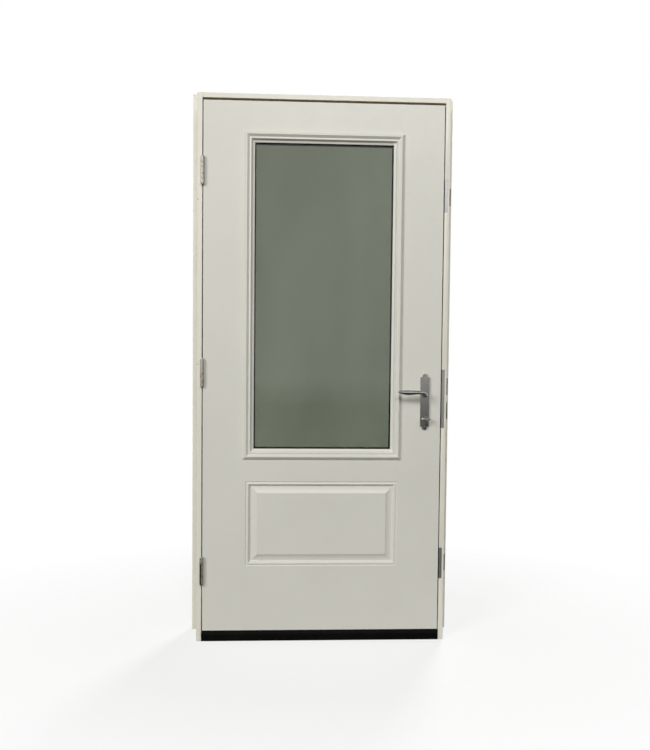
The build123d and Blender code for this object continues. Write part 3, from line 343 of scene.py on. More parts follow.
def make_finishes():
    """One material for each slot of the record."""
    colours, _, _ = settings()
    along_x, along_z = (0.02, 1.0, 1.0), (1.0, 1.0, 0.02)
    FINISHES.update({
        "leaf_paint": paint("leaf_paint", colours.leaf, grain=False),
        "lite_moulding": paint("lite_moulding", colours.leaf, grain=False),
        "frame_paint": paint("frame_paint", colours.boards, grain=True, nail=colours.nail),
        "raw_wood": wood("bare_wood", colours.edges),
        "foam": foam("core_foam", colours.foam),
        "glass": glass("pane_glass", colours.glass),
        "dark_plastic": dark("dark_plastic", colours.black, rough=0.55, scale=500.0, strength=0.15),
        "cap_plastic": dark("cap_plastic", colours.cap, rough=0.50, scale=500.0, strength=0.12),
        "black_rubber": dark("black_rubber", colours.rubber, rough=0.78, scale=380.0,
                             strength=0.25),
        "deck_metal": metal("deck_metal", colours.deck, rough=0.42, brush=along_x),
        "hinge_steel": metal("hinge_steel", colours.hinge, rough=0.52, brush=along_z,
                             grime=colours.grime, rust=colours.rust),
        "satin_nickel": metal("satin_nickel", colours.nickel, rough=0.17, brush=along_z,
                              streak=0.05),
        "zinc_steel": metal("zinc_steel", colours.zinc, rough=0.36, brush=along_z),
    })


def new_object(name, mesh, material):
    """Object at the origin that shows a mesh in one material."""
    mesh.name = name
    mesh.materials.clear()
    mesh.materials.append(material)
    made = bpy.data.objects.new(name, mesh)
    bpy.context.scene.collection.objects.link(made)
    return made


def stand_for(piece, *nodes):
    """Piece takes the place and the body of CAD nodes, which are hidden."""
    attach(piece, BODY_OF[nodes[0]])
    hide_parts(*nodes)
    return piece


def plain_mesh(made):
    """Mesh of an object with its modifiers worked in."""
    graph = bpy.context.evaluated_depsgraph_get()
    return bpy.data.meshes.new_from_object(made.evaluated_get(graph), depsgraph=graph)


def mesh_from(work, name):
    """Mesh made from a mesh edit copy, which is freed."""
    mesh = bpy.data.meshes.new(name)
    work.to_mesh(mesh)
    work.free()
    return mesh


def finished(node, mesh):
    """Object that shows a mesh in the finish of a CAD node."""
    return new_object(node + "_finished", mesh, FINISHES[SLOT_OF[node]])


def merged_copy(node):
    """Mesh edit copy of a CAD node, with its triangles joined into whole faces."""
    work = bmesh.new()
    work.from_mesh(NODES[node].data)
    bmesh.ops.remove_doubles(work, verts=work.verts, dist=NEAR)
    bmesh.ops.dissolve_limit(work, angle_limit=math.radians(FLAT_ANGLE),
                             verts=work.verts, edges=work.edges)
    return work


def settle(items, place):
    """Orders points or faces by their place, because rounding gives them in no fixed order."""
    rank = {item: number for number, item in
            enumerate(sorted(items, key=lambda item: tuple(place(item))))}
    items.sort(key=rank.get)


def eased(node, width, segments=2, angle=EASED_ANGLE, work=None):
    """Piece that stands for a CAD node, with its edges rounded and its curves smooth."""
    work = work or merged_copy(node)
    for face in work.faces:
        face.smooth = True
    mesh = mesh_from(work, node)
    mesh.set_sharp_from_angle(angle=math.radians(angle))
    made = finished(node, mesh)
    bevel = made.modifiers.new("round", "BEVEL")
    bevel.width = width
    bevel.segments = segments
    bevel.limit_method = "ANGLE"
    bevel.angle_limit = math.radians(angle)
    bevel.harden_normals = True
    bevel.use_clamp_overlap = True
    rounded = plain_mesh(made)
    made.modifiers.clear()
    rough = made.data
    made.data = rounded
    bpy.data.meshes.remove(rough)
    return stand_for(made, node)


CORNER_SHARE = 0.48


def rounded_line(points, radius, steps=4):
    """Open line of 2D points with the corners between its ends rounded."""
    line = [Vector(points[0])]
    for before, corner, after in zip(points, points[1:], points[2:]):
        before, corner, after = Vector(before), Vector(corner), Vector(after)
        back, ahead = before - corner, after - corner
        reach = min(radius, back.length * CORNER_SHARE, ahead.length * CORNER_SHARE)
        start = corner + back.normalized() * reach
        end = corner + ahead.normalized() * reach
        for step in range(steps + 1):
            share = step / steps
            line.append(start.lerp(corner, share).lerp(corner.lerp(end, share), share))
    line.append(Vector(points[-1]))
    return line


def ring(work, half_width, low, high, line, y, outward, closed):
    """Moulding mitred round an upright rectangle, from points (inward, out of the face)."""
    loops = []
    for inset, out in line:
        x = half_width - inset
        bottom = low + inset
        top = high - inset
        depth = y + outward * out
        corners = ((-x, bottom), (x, bottom), (x, top), (-x, top))
        loops.append([work.verts.new((a, depth, b)) for a, b in corners])
    pairs = list(zip(loops, loops[1:]))
    if closed:
        pairs.append((loops[-1], loops[0]))
    for first, second in pairs:
        for side in range(4):
            after = (side + 1) % 4
            quad = (first[side], first[after], second[after], second[side])
            work.faces.new(quad if outward < 0 else quad[::-1]).smooth = True
    work.normal_update()
    for first, second in pairs:
        for side in range(4):
            work.edges.get((first[side], second[side])).smooth = False
            along = work.edges.get((first[side], first[(side + 1) % 4]))
            along.smooth = (len(along.link_faces) == 2
                            and along.calc_face_angle() < math.radians(MOULDING_ANGLE))
    return loops


class DOOR_OT_frame_boards(bpy.types.Operator):
    """Jambs and casings with eased, painted edges"""
    bl_idname = "door.frame_boards"
    bl_label = "Frame boards"

    def execute(self, context):
        _, sizes, _ = settings()
        for node in ("hinge_jamb", "strike_jamb", "head_jamb", "brickmould_hinge_side",
                     "brickmould_strike_side", "brickmould_head"):
            eased(node, sizes.board_edge)
        return {"FINISHED"}


class DOOR_OT_sill(bpy.types.Operator):
    """Sill base, deck and threshold cap"""
    bl_idname = "door.sill"
    bl_label = "Sill"

    def execute(self, context):
        _, sizes, _ = settings()
        for node in ("sill_base", "sill_deck", "threshold_cap"):
            eased(node, sizes.plastic_edge)
        return {"FINISHED"}


class DOOR_OT_seals(bpy.types.Operator):
    """Weatherstrips, corner pads and the sweep"""
    bl_idname = "door.seals"
    bl_label = "Seals"

    def execute(self, context):
        _, sizes, _ = settings()
        for node in ("weatherstrip_hinge_side", "weatherstrip_strike_side", "weatherstrip_head",
                     "corner_pads", "door_sweep"):
            eased(node, sizes.plastic_edge)
        return {"FINISHED"}


# Panel moulding: points as shares across it and down from the skin's face, and its sizes
PANEL_SHARES = [(0.0, 0.0), (0.04, 0.24), (0.07, 0.24), (0.20, 0.03), (0.25, 0.08), (0.40, 1.0),
                (0.45, 1.0), (0.60, 0.89), (0.745, 0.695), (0.88, 0.42), (0.97, 0.165), (1.0, 0.11)]
PANEL_MOULDING = 45.0 * MM
PANEL_DEPTH = 9.0 * MM
PANEL_HALF = 291.0 * MM
PANEL_LOW = 291.5 * MM
PANEL_HIGH = 617.5 * MM
# Least outward part of a front face's normal, and faces across a rolled edge
FRONT_TURN = 0.05
ROLL_STEPS = 3


class DOOR_OT_skins(bpy.types.Operator):
    """Moulded skins, with the raised panel's mouldings rounded"""
    bl_idname = "door.skins"
    bl_label = "Skins"

    def execute(self, context):
        _, sizes, _ = settings()
        profile = [(across * PANEL_MOULDING, -depth * PANEL_DEPTH)
                   for across, depth in PANEL_SHARES]
        line = rounded_line(profile, sizes.panel_round)
        for node, outward in (("interior_skin", -1), ("exterior_skin", 1)):
            low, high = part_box(node)
            face_y = low.y if outward < 0 else high.y
            work = merged_copy(node)
            inside = [face for face in work.faces if self.in_panel(face, outward)]
            bmesh.ops.delete(work, geom=inside, context="FACES")
            for face in work.faces:
                face.smooth = False
            self.roll(work, sizes.skin_roll, face_y, (low.x, high.x))
            loops = ring(work, PANEL_HALF, PANEL_LOW, PANEL_HIGH, line, face_y, outward, False)
            field = loops[-1]
            work.faces.new(field if outward < 0 else field[::-1])
            self.meet(work, loops[0])
            bmesh.ops.remove_doubles(work, verts=work.verts, dist=NEAR)
            settle(work.verts, lambda vert: vert.co)
            settle(work.faces, lambda face: face.calc_center_median())
            stand_for(finished(node, mesh_from(work, node)), node)
        return {"FINISHED"}

    def roll(self, work, width, face_y, sides):
        """Rounds the upright edges of the skin's face."""
        edges = [edge for edge in work.edges if all(
            abs(vert.co.y - face_y) < NEAR and min(abs(vert.co.x - side) for side in sides) < NEAR
            for vert in edge.verts)]
        bmesh.ops.bevel(work, geom=edges, offset=width, segments=ROLL_STEPS, profile=0.5,
                        affect="EDGES", clamp_overlap=True)

    def meet(self, work, outer):
        """Splits the outer edges of the moulding where the joint lines of the skin end on them."""
        ends = [vert for vert in work.verts if vert.is_boundary and vert not in outer]
        for start, end in zip(outer, outer[1:] + outer[:1]):
            whole = end.co - start.co
            shares = [(vert.co - start.co).dot(whole) / whole.length_squared for vert in ends
                      if (vert.co - start.co).cross(whole).length < NEAR * whole.length]
            last, reach = end, 1.0
            inner = [share for share in shares if END_SHARE < share < 1.0 - END_SHARE]
            for share in sorted(inner, reverse=True):
                rest = work.edges.get((start, last))
                last = bmesh.utils.edge_split(rest, start, share / reach)[1]
                reach = share

    def in_panel(self, face, outward):
        """True for the front faces of the panel and its mouldings."""
        middle = face.calc_center_median()
        inside = abs(middle.x) < PANEL_HALF and PANEL_LOW < middle.z < PANEL_HIGH
        return inside and face.normal.y * outward > FRONT_TURN


class DOOR_OT_leaf_core(bpy.types.Operator):
    """Stiles, rails and foam core inside the skins"""
    bl_idname = "door.leaf_core"
    bl_label = "Leaf core"

    def execute(self, context):
        for node in ("hinge_stile", "lock_stile", "top_rail", "bottom_rail", "foam_core"):
            dress(node)
        return {"FINISHED"}


def dress(node):
    """CAD node that keeps its shape and gets its finish."""
    mesh = NODES[node].data
    mesh.materials.clear()
    mesh.materials.append(FINISHES[SLOT_OF[node]])


# Lite frame: points of its moulding as shares across it and out of the skin's face, and its sizes
LITE_SHARES = [(0.0, 0.0), (0.0, 0.22), (0.06, 0.36), (0.24, 0.94), (0.28, 1.0), (0.32, 1.0),
               (0.52, 0.40), (0.55, 0.38), (0.62, 0.50), (0.70, 0.46), (0.81, -0.20),
               (0.85, -0.27), (1.0, -0.42)]
LITE_FACE = 40.5 * MM
LITE_PROUD = 12.0 * MM
LITE_HALF = 302.5 * MM
LITE_LOW = 702.0 * MM
LITE_HIGH = 1938.0 * MM
LITE_LIP = 12.0 * MM
LITE_LEG = (16.0 * MM, 22.0 * MM)
LEAF_HALF_DEPTH = 22.25 * MM


class DOOR_OT_lite(bpy.types.Operator):
    """Lite frames with rounded mouldings, the panes, their spacer and tape"""
    bl_idname = "door.lite"
    bl_label = "Lite"

    def execute(self, context):
        _, sizes, _ = settings()
        profile = [(across * LITE_FACE, out * LITE_PROUD) for across, out in LITE_SHARES]
        line = rounded_line(profile, sizes.lite_round)
        start, end = LITE_LEG
        line += [Vector(point) for point in (
            (LITE_FACE, -LITE_LIP), (end, -LITE_LIP), (end, -LEAF_HALF_DEPTH),
            (start, -LEAF_HALF_DEPTH), (start, 0.0),
        )]
        for name, outward in (("interior", -1), ("exterior", 1)):
            node = f"lite_frame_{name}"
            low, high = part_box(f"{name}_skin")
            face_y = low.y if outward < 0 else high.y
            work = bmesh.new()
            ring(work, LITE_HALF, LITE_LOW, LITE_HIGH, line, face_y, outward, True)
            stand_for(finished(node, mesh_from(work, node)), node)
        for node in ("glass_interior", "glass_exterior", "glass_spacer", "glazing_tape"):
            dress(node)
        return {"FINISHED"}


class DOOR_OT_hinges(bpy.types.Operator):
    """Hinge leaves, knuckles and pins"""
    bl_idname = "door.hinges"
    bl_label = "Hinges"

    def execute(self, context):
        _, sizes, _ = settings()
        for level in ("top", "middle", "bottom"):
            for part in ("frame", "door"):
                eased(f"hinge_{level}_{part}_leaf", sizes.metal_edge)
        eased("hinge_pins", sizes.metal_edge)
        return {"FINISHED"}


class DOOR_OT_lock(bpy.types.Operator):
    """Strikes, dust boxes, faceplate, cases, bolts and rods"""
    bl_idname = "door.lock"
    bl_label = "Lock"

    def execute(self, context):
        _, sizes, _ = settings()
        for node in ("strike_top", "strike_centre", "strike_bottom", "lock_faceplate", "latch_bolt",
                     "deadbolt", "tongue_top", "tongue_bottom", "dust_boxes"):
            eased(node, sizes.metal_edge)
        for node in ("lock_case", "tongue_cases", "lock_follower", "spindle", "drive_rod_upper",
                     "drive_rod_lower"):
            dress(node)
        return {"FINISHED"}


# Lever, section by section: shares of its reach, stand and rise, its bend in degrees, and shares
# of the grip's thickness and height
LEVER_SECTIONS = [
    (0.000, 0.29, 0.00, 0.0, 1.25, 0.96), (0.000, 0.56, 0.10, 0.0, 1.18, 0.86),
    (0.045, 0.86, 0.50, 38.0, 1.10, 0.80), (0.150, 1.00, 0.98, 80.0, 1.00, 0.74),
    (0.300, 1.02, 1.10, 89.0, 0.98, 0.76), (0.600, 1.02, 1.01, 91.0, 1.00, 1.00),
    (0.800, 0.99, 1.08, 92.0, 0.88, 0.86), (0.950, 0.97, 1.27, 92.0, 0.64, 0.46),
    (1.000, 0.965, 1.33, 92.0, 0.30, 0.20),
]
LEVER_AXIS = Vector((392.0, 0.0, 954.0)) * MM
LEVER_REACH = 111.0 * MM
LEVER_STAND = 51.99 * MM
LEVER_RISE = 10.0 * MM
LEVER_GRIP = (13.0 * MM, 18.5 * MM)
# Outline of the turned collar in millimetres: radius, and distance out of the plate
LEVER_COLLAR = [(0.0, 7.3), (11.6, 7.3), (11.9, 6.9), (12.9, 0.9), (13.0, 0.3), (9.5, 0.3),
                (9.5, -13.7), (0.0, -13.7)]
LEVER_SIDES = 36
LEVER_STEPS = 8
PLATE_THICKNESS = 9.0 * MM
# Grip of the thumb-turn: height of its dome, radii of its bulb and tail, and the angle in degrees
# up the dome at which its top goes flat
TURN_DOME = 6.8 * MM
TURN_ENDS = (8.0 * MM, 4.7 * MM)
TURN_STEPS = 9
TURN_CREST = 84.0


def between(table, place):
    """Smooth value between the rows of a table at a place along it."""
    last = len(table) - 1
    index = min(int(place), last - 1)
    share = place - index
    rows = [table[max(0, min(last, index + step))] for step in (-1, 0, 1, 2)]
    values = []
    for a, b, c, d in zip(*rows):
        value = 0.5 * (2 * b + (c - a) * share + (2 * a - 5 * b + 4 * c - d) * share ** 2
                       + (3 * b - a - 3 * c + d) * share ** 3)
        values.append(max(min(b, c), min(max(b, c), value)))
    return values


def bridge(work, loops):
    """Faces between loops of points that follow each other, where a loop of one point is a tip."""
    for first, second in zip(loops, loops[1:]):
        for side in range(max(len(first), len(second))):
            after = side + 1
            corners = [first[side % len(first)], first[after % len(first)],
                       second[after % len(second)], second[side % len(second)]]
            work.faces.new(list(dict.fromkeys(corners)))


class DOOR_OT_handles(bpy.types.Operator):
    """Backplates, levers, thumb-turn and key cylinder"""
    bl_idname = "door.handles"
    bl_label = "Handles"

    def execute(self, context):
        _, sizes, _ = settings()
        for node in ("backplate_interior", "backplate_exterior"):
            eased(node, sizes.plate_edge, segments=3)
        eased("thumb_turn", sizes.turn_edge, segments=3, angle=TURNED_ANGLE,
              work=self.domed("thumb_turn"))
        eased("key_cylinder", sizes.metal_edge, segments=3, angle=TURNED_ANGLE)
        for name, outward in (("interior", -1), ("exterior", 1)):
            low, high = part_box(f"{name}_skin")
            self.lever(f"lever_{name}", low.y if outward < 0 else high.y, outward)
        return {"FINISHED"}

    def domed(self, node):
        """Thumb-turn whose grip is domed over its spine, as a knob with a tail."""
        work = merged_copy(node)
        low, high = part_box(node)
        rim_y = low.y + TURN_DOME
        bmesh.ops.bisect_plane(work, geom=work.verts[:] + work.edges[:] + work.faces[:],
                               dist=NEAR, plane_co=(0.0, rim_y, 0.0), plane_no=(0.0, -1.0, 0.0),
                               clear_outer=True)
        edge = next(edge for edge in work.edges if edge.is_boundary)
        vert, rim = edge.verts[0], []
        while vert not in rim:
            rim.append(vert)
            vert = edge.other_vert(vert)
            edge = next(other for other in vert.link_edges
                        if other.is_boundary and other != edge)
        spine = (low.x + TURN_ENDS[0], high.x - TURN_ENDS[1])
        spine_z = (low.z + high.z) / 2
        feet = [Vector((min(max(vert.co.x, spine[0]), spine[1]), 0.0, spine_z)) for vert in rim]
        loops = [rim]
        for step in range(1, TURN_STEPS + 1):
            angle = math.radians(TURN_CREST * step / TURN_STEPS)
            loop = []
            for vert, foot in zip(rim, feet):
                point = foot + (vert.co - foot) * math.cos(angle)
                point.y = rim_y - TURN_DOME * math.sin(angle)
                loop.append(work.verts.new(point))
            loops.append(loop)
        bridge(work, loops)
        work.faces.new(loops[-1])
        bmesh.ops.recalc_face_normals(work, faces=work.faces)
        return work

    def lever(self, node, face_y, outward):
        """Lever with a grip that sweeps up and thins to its tip, on a turned collar."""
        work = bmesh.new()
        rings = []
        for step in range((len(LEVER_SECTIONS) - 1) * LEVER_STEPS + 1):
            reach, stand, rise, bend, thick, tall = between(LEVER_SECTIONS, step / LEVER_STEPS)
            angle = math.radians(bend)
            across = Vector((math.cos(angle), outward * math.sin(angle), 0.0))
            middle = LEVER_AXIS + Vector((
                -reach * LEVER_REACH, face_y + outward * stand * LEVER_STAND, rise * LEVER_RISE))
            loop = []
            for side in range(LEVER_SIDES):
                turn = math.tau * side / LEVER_SIDES
                point = middle + across * (thick * LEVER_GRIP[0] / 2 * math.cos(turn))
                point += Vector((0.0, 0.0, tall * LEVER_GRIP[1] / 2 * math.sin(turn)))
                loop.append(work.verts.new(point))
            rings.append(loop)
        bridge(work, rings)
        work.faces.new(rings[0])
        work.faces.new(rings[-1])
        plate_y = face_y + outward * PLATE_THICKNESS
        turned = []
        for radius, out in LEVER_COLLAR:
            depth = plate_y + outward * out * MM
            if radius == 0.0:
                turned.append([work.verts.new(LEVER_AXIS + Vector((0.0, depth, 0.0)))])
                continue
            turned.append([
                work.verts.new(LEVER_AXIS + Vector((
                    radius * MM * math.cos(math.tau * side / LEVER_SIDES), depth,
                    radius * MM * math.sin(math.tau * side / LEVER_SIDES))))
                for side in range(LEVER_SIDES)])
        bridge(work, turned)
        bmesh.ops.recalc_face_normals(work, faces=work.faces)
        for face in work.faces:
            face.smooth = True
        mesh = mesh_from(work, node)
        mesh.set_sharp_from_angle(angle=math.radians(LEVER_ANGLE))
        stand_for(finished(node, mesh), node)


# Screw: where its shank starts down the countersink, the length and width of its slots to the
# radius of its head, and their depth to that of the countersink
SHANK_SHARE = 0.7
SLOT_LENGTH_SHARE = 1.40
SLOT_WIDTH_SHARE = 0.32
SLOT_DEPTH_SHARE = 1.3
SPIN_SEED = 7


def screw_tree():
    """Geometry nodes that set a cross-headed countersunk screw on every point of a mesh."""
    tree = bpy.data.node_groups.new("cross_screws", "GeometryNodeTree")
    tree.interface.new_socket("Points", in_out="INPUT", socket_type="NodeSocketGeometry")
    for name in ("Head", "Shank", "Length"):
        tree.interface.new_socket(name, in_out="INPUT", socket_type="NodeSocketFloat")
    tree.interface.new_socket("Sides", in_out="INPUT", socket_type="NodeSocketInt")
    tree.interface.new_socket("Finish", in_out="INPUT", socket_type="NodeSocketMaterial")
    tree.interface.new_socket("Screws", in_out="OUTPUT", socket_type="NodeSocketGeometry")
    given = tree.nodes.new("NodeGroupInput").outputs
    result = tree.nodes.new("NodeGroupOutput").inputs

    def maths(operation, first, second):
        made = add_node(tree, "ShaderNodeMath", {0: first, 1: second}, operation=operation)
        return made.outputs[0]

    def vector(x, y, z):
        return add_node(tree, "ShaderNodeCombineXYZ", {0: x, 1: y, 2: z}).outputs[0]

    def lowered(geometry, offset):
        made = add_node(tree, "GeometryNodeTransform", {
            "Geometry": geometry, "Translation": vector(0.0, 0.0, offset),
        })
        return made.outputs[0]

    drop = maths("SUBTRACT", given["Head"], given["Shank"])
    head = add_node(tree, "GeometryNodeMeshCone", {
        "Vertices": given["Sides"], "Radius Top": given["Head"], "Radius Bottom": given["Shank"],
        "Depth": drop,
    })
    shank_top = maths("MULTIPLY", drop, SHANK_SHARE)
    shank = add_node(tree, "GeometryNodeMeshCylinder", {
        "Vertices": given["Sides"], "Radius": given["Shank"],
        "Depth": maths("SUBTRACT", given["Length"], shank_top),
    })
    shank_middle = maths("MULTIPLY", maths("ADD", given["Length"], shank_top), -0.5)
    slot_long = maths("MULTIPLY", given["Head"], SLOT_LENGTH_SHARE)
    slot_wide = maths("MULTIPLY", given["Head"], SLOT_WIDTH_SHARE)
    slot_deep = maths("MULTIPLY", drop, SLOT_DEPTH_SHARE)
    cut = add_node(tree, "GeometryNodeMeshBoolean", operation="DIFFERENCE", solver="EXACT")
    feed(tree, cut.inputs["Mesh 1"], lowered(head.outputs["Mesh"], maths("MULTIPLY", drop, -1.0)))
    for long, wide in ((slot_long, slot_wide), (slot_wide, slot_long)):
        slot = add_node(tree, "GeometryNodeMeshCube", {"Size": vector(long, wide, slot_deep)})
        feed(tree, cut.inputs["Mesh 2"], slot.outputs["Mesh"])
    whole = tree.nodes.new("GeometryNodeJoinGeometry")
    for geometry in (cut.outputs["Mesh"], lowered(shank.outputs["Mesh"], shank_middle)):
        feed(tree, whole.inputs[0], geometry)
    facing = add_node(tree, "GeometryNodeInputNamedAttribute", {"Name": "facing"},
                      data_type="FLOAT_VECTOR")
    turn = add_node(tree, "FunctionNodeAlignRotationToVector",
                    {"Vector": facing.outputs["Attribute"]}, axis="Z")
    spin = add_node(tree, "FunctionNodeRandomValue",
                    {"Min": 0.0, "Max": math.pi / 2, "Seed": SPIN_SEED}, data_type="FLOAT")
    spun = add_node(tree, "FunctionNodeRotateRotation", {
        "Rotation": turn.outputs["Rotation"], "Rotate By": vector(0.0, 0.0, spin.outputs["Value"]),
    }, rotation_space="LOCAL")
    place = add_node(tree, "GeometryNodeInstanceOnPoints", {
        "Points": given["Points"], "Instance": whole.outputs[0],
        "Rotation": spun.outputs["Rotation"],
    })
    real = add_node(tree, "GeometryNodeRealizeInstances", {0: place.outputs[0]})
    finish = add_node(tree, "GeometryNodeSetMaterial", {
        "Geometry": real.outputs[0], "Material": given["Finish"],
    })
    feed(tree, result["Screws"], finish.outputs[0])
    return tree


def grown(name, tree, points, inputs):
    """Object whose mesh a node tree grows from points that each face one way."""
    mesh = bpy.data.meshes.new(name)
    mesh.from_pydata([place for place, _ in points], [], [])
    facing = mesh.attributes.new("facing", "FLOAT_VECTOR", "POINT")
    for row, (_, direction) in zip(facing.data, points):
        row.vector = direction
    made = new_object(name, mesh, inputs["Finish"])
    grow = made.modifiers.new("grow", "NODES")
    grow.node_group = tree
    for socket in tree.interface.items_tree:
        if socket.in_out == "INPUT" and socket.name in inputs:
            grow[socket.identifier] = inputs[socket.name]
    grown_mesh = plain_mesh(made)
    made.modifiers.clear()
    made.data = grown_mesh
    bpy.data.meshes.remove(mesh)
    if not grown_mesh.polygons:
        raise RuntimeError(f"{name}: the node tree made no faces")
    if "facing" in grown_mesh.attributes:
        grown_mesh.attributes.remove(grown_mesh.attributes["facing"])
    return made


# Places of the screws: heights of the hinges, the hinges' holes in millimetres from the leaf's face
# and the hinge's middle, and the strikes' holes in millimetres, set in from the strikes' ends
HINGE_LEVELS = (274.5 * MM, 1031.5 * MM, 1788.5 * MM)
HINGE_SCREWS = [(14.7, -38.76), (25.9, -13.77), (25.9, 13.77), (14.7, 38.76)]
STRIKE_INSET = 12.0
STRIKE_SCREWS = (240.6 + STRIKE_INSET, 360.6 - STRIKE_INSET,
                 825.75 + STRIKE_INSET, 1050.75 - STRIKE_INSET, 938.25,
                 1648.5 + STRIKE_INSET, 1768.5 - STRIKE_INSET)
FACE_Y = -58.0 * MM
MIDDLE_Y = -35.75 * MM
RABBET_X = 457.5 * MM
LEAF_HALF = 454.0 * MM


class DOOR_OT_screws(bpy.types.Operator):
    """Cross-headed screws of the hinges, strikes and handle plates"""
    bl_idname = "door.screws"
    bl_label = "Screws"

    def execute(self, context):
        _, sizes, _ = settings()
        tree = screw_tree()
        right, left, front = (1.0, 0.0, 0.0), (-1.0, 0.0, 0.0), (0.0, -1.0, 0.0)
        hinge_places = [(FACE_Y + y * MM, level + z * MM)
                        for level in HINGE_LEVELS for y, z in HINGE_SCREWS]
        wood = {"Head": sizes.screw_head, "Shank": sizes.screw_shank, "Length": sizes.screw_length,
                "Sides": sizes.screw_sides}
        frame_points = [((-RABBET_X, y, z), right) for y, z in hinge_places]
        frame_points += [((RABBET_X, MIDDLE_Y, z * MM), left) for z in STRIKE_SCREWS]
        leaf_points = [((-LEAF_HALF, y, z), left) for y, z in hinge_places]
        low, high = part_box("backplate_screws")
        head_x = (low.x + high.x) / 2
        plate_points = [((head_x, low.y, low.z + sizes.plate_screw_head), front),
                        ((head_x, low.y, high.z - sizes.plate_screw_head), front)]
        plate = {"Head": sizes.plate_screw_head, "Shank": sizes.plate_screw_shank,
                 "Length": sizes.plate_screw_length, "Sides": sizes.screw_sides}
        for node, points, given in (
                ("frame_screws", frame_points, wood), ("leaf_screws", leaf_points, wood),
                ("backplate_screws", plate_points, plate)):
            finish = FINISHES[SLOT_OF[node]]
            stand_for(grown(node + "_finished", tree, points, {**given, "Finish": finish}), node)
        dress("threshold_screws")
        return {"FINISHED"}


# Heights of a mirrored direction between which the room brightens and its ceiling darkens, and
# depths between which the room gives way to the white behind
ROOM_EDGE = (-0.085, -0.045)
ROOM_CEILING = (0.50, 0.85)
ROOM_BACK = (-0.25, 0.25)
# Floor: reach, stretch of its fade across and along, and distances between which it fades
FLOOR_REACH = 9.0
FLOOR_STRETCH = (0.75, 1.1, 1.0)
FLOOR_FADE = (0.55, 1.5)
SENSOR_WIDTH = 36.0
WARM = (1.0, 0.99, 0.97)
COOL = (0.98, 0.99, 1.0)
# The lamp in front is split in two at one place, and metal mirrors only the second
FRONT_PLACE = (1.2, -10.2, 7.2)
KEY_SIZE = 4.2
SHEEN_SIZE = 2.8
LOW_AIM = (0.0, 0.0, 0.8)
HIGH_AIM = (0.0, 0.0, 1.0)
# Other lamps: name, place, point it faces, size, setting of its power, colour
LAMPS = (
    ("side_lamp", (-7.2, -7.6, 5.2), LOW_AIM, 5.0, "side", WARM),
    ("fill_lamp", (4.0, -5.0, 5.2), HIGH_AIM, 2.4, "fill", COOL),
    ("back_lamp", (3.6, 8.4, 6.0), LOW_AIM, 2.6, "back", WARM),
)


def add_lamp(name, place, target, size, power, colour):
    """Soft square lamp that faces a point."""
    lamp = bpy.data.lights.new(name, "AREA")
    lamp.shape = "SQUARE"
    lamp.size = size
    lamp.energy = power
    lamp.color = colour
    made = bpy.data.objects.new(name, lamp)
    bpy.context.scene.collection.objects.link(made)
    made.location = place
    made.rotation_euler = (Vector(target) - Vector(place)).to_track_quat("-Z", "Y").to_euler()
    return made


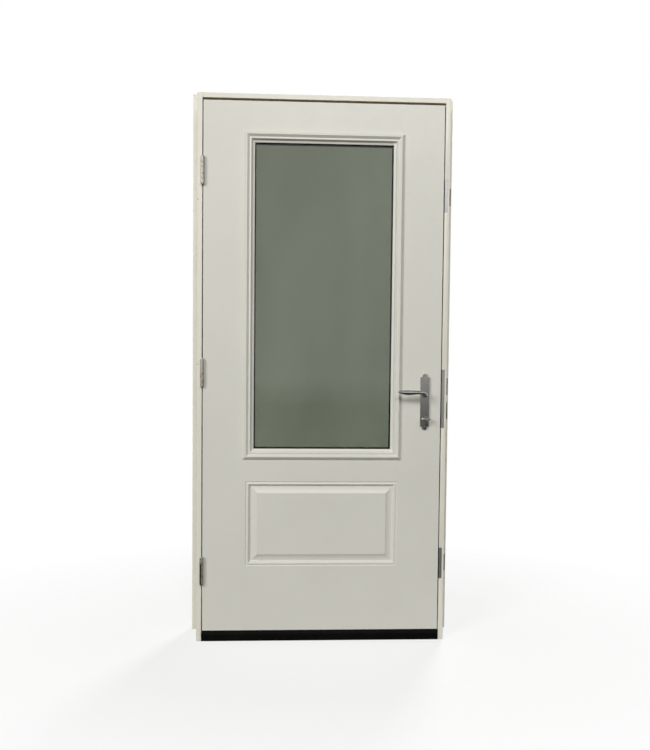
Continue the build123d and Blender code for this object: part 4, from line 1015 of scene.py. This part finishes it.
class DOOR_OT_stage(bpy.types.Operator):
    """Pale floor, soft light and the camera"""
    bl_idname = "door.stage"
    bl_label = "Stage"

    def execute(self, context):
        _, _, stage = settings()
        scene = context.scene
        scene.view_settings.view_transform = "Standard"
        self.floor(stage)
        self.sky(stage, scene)
        for name, share, size in (("key_lamp", 1.0 - stage.sheen, KEY_SIZE),
                                  ("sheen_lamp", stage.sheen, SHEEN_SIZE)):
            lamp = add_lamp(name, FRONT_PLACE, LOW_AIM, size, share * stage.key, WARM)
            lamp.visible_glossy = name == "sheen_lamp"
        for name, place, target, size, power, colour in LAMPS:
            add_lamp(name, place, target, size, getattr(stage, power), colour)
        yaw, pitch, roll = map(math.radians, (stage.yaw, stage.pitch, stage.roll))
        ahead = Vector((math.sin(yaw) * math.cos(pitch), math.cos(yaw) * math.cos(pitch),
                        math.sin(pitch)))
        right = Vector((math.cos(yaw), -math.sin(yaw), 0.0))
        up = right.cross(ahead)
        turned_right = right * math.cos(roll) + up * math.sin(roll)
        turned_up = up * math.cos(roll) - right * math.sin(roll)
        camera = bpy.data.objects.new("camera", bpy.data.cameras.new("camera"))
        scene.collection.objects.link(camera)
        camera.data.lens = stage.lens
        camera.data.sensor_width = SENSOR_WIDTH
        pose = Matrix((turned_right, turned_up, -ahead)).transposed().to_4x4()
        pose.translation = Vector(stage.camera)
        camera.matrix_world = pose
        scene.camera = camera
        return {"FINISHED"}

    def floor(self, stage):
        """Floor that fades out into the backdrop away from the door."""
        mesh = bpy.data.meshes.new("floor")
        mesh.from_pydata([(-FLOOR_REACH, -FLOOR_REACH, 0.0), (FLOOR_REACH, -FLOOR_REACH, 0.0),
                          (FLOOR_REACH, FLOOR_REACH, 0.0), (-FLOOR_REACH, FLOOR_REACH, 0.0)],
                         [], [(0, 1, 2, 3)])
        made = Shader("floor")
        seen = made.node("ShaderNodeLightPath").outputs["Is Camera Ray"]
        made.set(Base_Color=made.mix(seen, stage.bounce, stage.floor), Roughness=0.9)
        distance = made.node("ShaderNodeVectorMath", {0: made.stretch(FLOOR_STRETCH)},
                             operation="LENGTH")
        fade = made.span(distance.outputs["Value"], 0.0, 1.0, *FLOOR_FADE)
        clear = made.node("ShaderNodeBsdfTransparent")
        glow = made.node("ShaderNodeEmission")
        share = made.node("ShaderNodeMath", {0: seen, 1: stage.glow}, operation="MULTIPLY")
        lifted = made.node("ShaderNodeMixShader", {
            0: share.outputs[0], 1: made.surface.outputs[0], 2: glow.outputs[0],
        })
        blend = made.node("ShaderNodeMixShader", {
            0: fade, 1: lifted.outputs[0], 2: clear.outputs[0],
        })
        made.put(made.tree.nodes["Material Output"].inputs["Surface"], blend.outputs[0])
        new_object("floor", mesh, made.material)

    def sky(self, stage, scene):
        """White to the eye and through glass, a room for mirrors, and even light elsewhere."""
        world = bpy.data.worlds.new("studio")
        world.use_nodes = True
        scene.world = world
        tree = world.node_tree
        path = tree.nodes.new("ShaderNodeLightPath").outputs
        direction = tree.nodes.new("ShaderNodeTexCoord").outputs["Generated"]
        toward = add_node(tree, "ShaderNodeSeparateXYZ", {0: direction}).outputs

        def ramp(value, ends, first, last):
            made = add_node(tree, "ShaderNodeMapRange", {
                "Value": value, "From Min": ends[0], "From Max": ends[1],
                "To Min": first, "To Max": last,
            })
            return made.outputs["Result"]

        height = add_node(tree, "ShaderNodeMath", {
            0: ramp(toward["Z"], ROOM_EDGE, stage.room_low, stage.room_high),
            1: ramp(toward["Z"], ROOM_CEILING, stage.room_high, stage.room_top),
        }, operation="MINIMUM")
        room = ramp(toward["Y"], ROOM_BACK, height.outputs[0], 1.0)
        seen = add_node(tree, "ShaderNodeMath", {
            0: path["Is Camera Ray"], 1: path["Is Transmission Ray"],
        }, operation="MAXIMUM")
        mirrored = add_node(tree, "ShaderNodeMix", {
            0: path["Is Glossy Ray"], 2: stage.sky, 3: room,
        })
        strength = add_node(tree, "ShaderNodeMix", {
            0: seen.outputs[0], 2: mirrored.outputs[0], 3: 1.0,
        })
        background = tree.nodes["Background"]
        background.inputs["Color"].default_value = (1.0, 1.0, 1.0, 1.0)
        tree.links.new(strength.outputs[0], background.inputs["Strength"])


PIECES = (DOOR_OT_frame_boards, DOOR_OT_sill, DOOR_OT_seals, DOOR_OT_skins, DOOR_OT_leaf_core,
          DOOR_OT_lite, DOOR_OT_hinges, DOOR_OT_lock, DOOR_OT_handles, DOOR_OT_screws,
          DOOR_OT_stage)


class DOOR_PT_panel(bpy.types.Panel):
    """Sizes, colours and steps of the door"""
    bl_idname = "DOOR_PT_panel"
    bl_label = "Glazed entry door"
    bl_space_type = "VIEW_3D"
    bl_region_type = "UI"
    bl_category = "Door"

    def draw(self, context):
        for group in settings():
            column = self.layout.column(align=True)
            for key in group.__annotations__:
                column.prop(group, key)
        for piece in PIECES:
            self.layout.operator(piece.bl_idname)


GROUPS = (("door_colours", DoorColours), ("door_sizes", DoorSizes), ("door_stage", StageSettings))


def register():
    for name, group in GROUPS:
        bpy.utils.register_class(group)
        setattr(bpy.types.Scene, name, PointerProperty(type=group))
    for made in (*PIECES, DOOR_PT_panel):
        bpy.utils.register_class(made)


def unregister():
    for made in (DOOR_PT_panel, *reversed(PIECES)):
        bpy.utils.unregister_class(made)
    for name, group in reversed(GROUPS):
        delattr(bpy.types.Scene, name)
        bpy.utils.unregister_class(group)


def main():
    register()
    make_finishes()
    for piece in PIECES:
        family, step = piece.bl_idname.split(".")
        getattr(getattr(bpy.ops, family), step)()


if __name__ == "__main__":
    main()
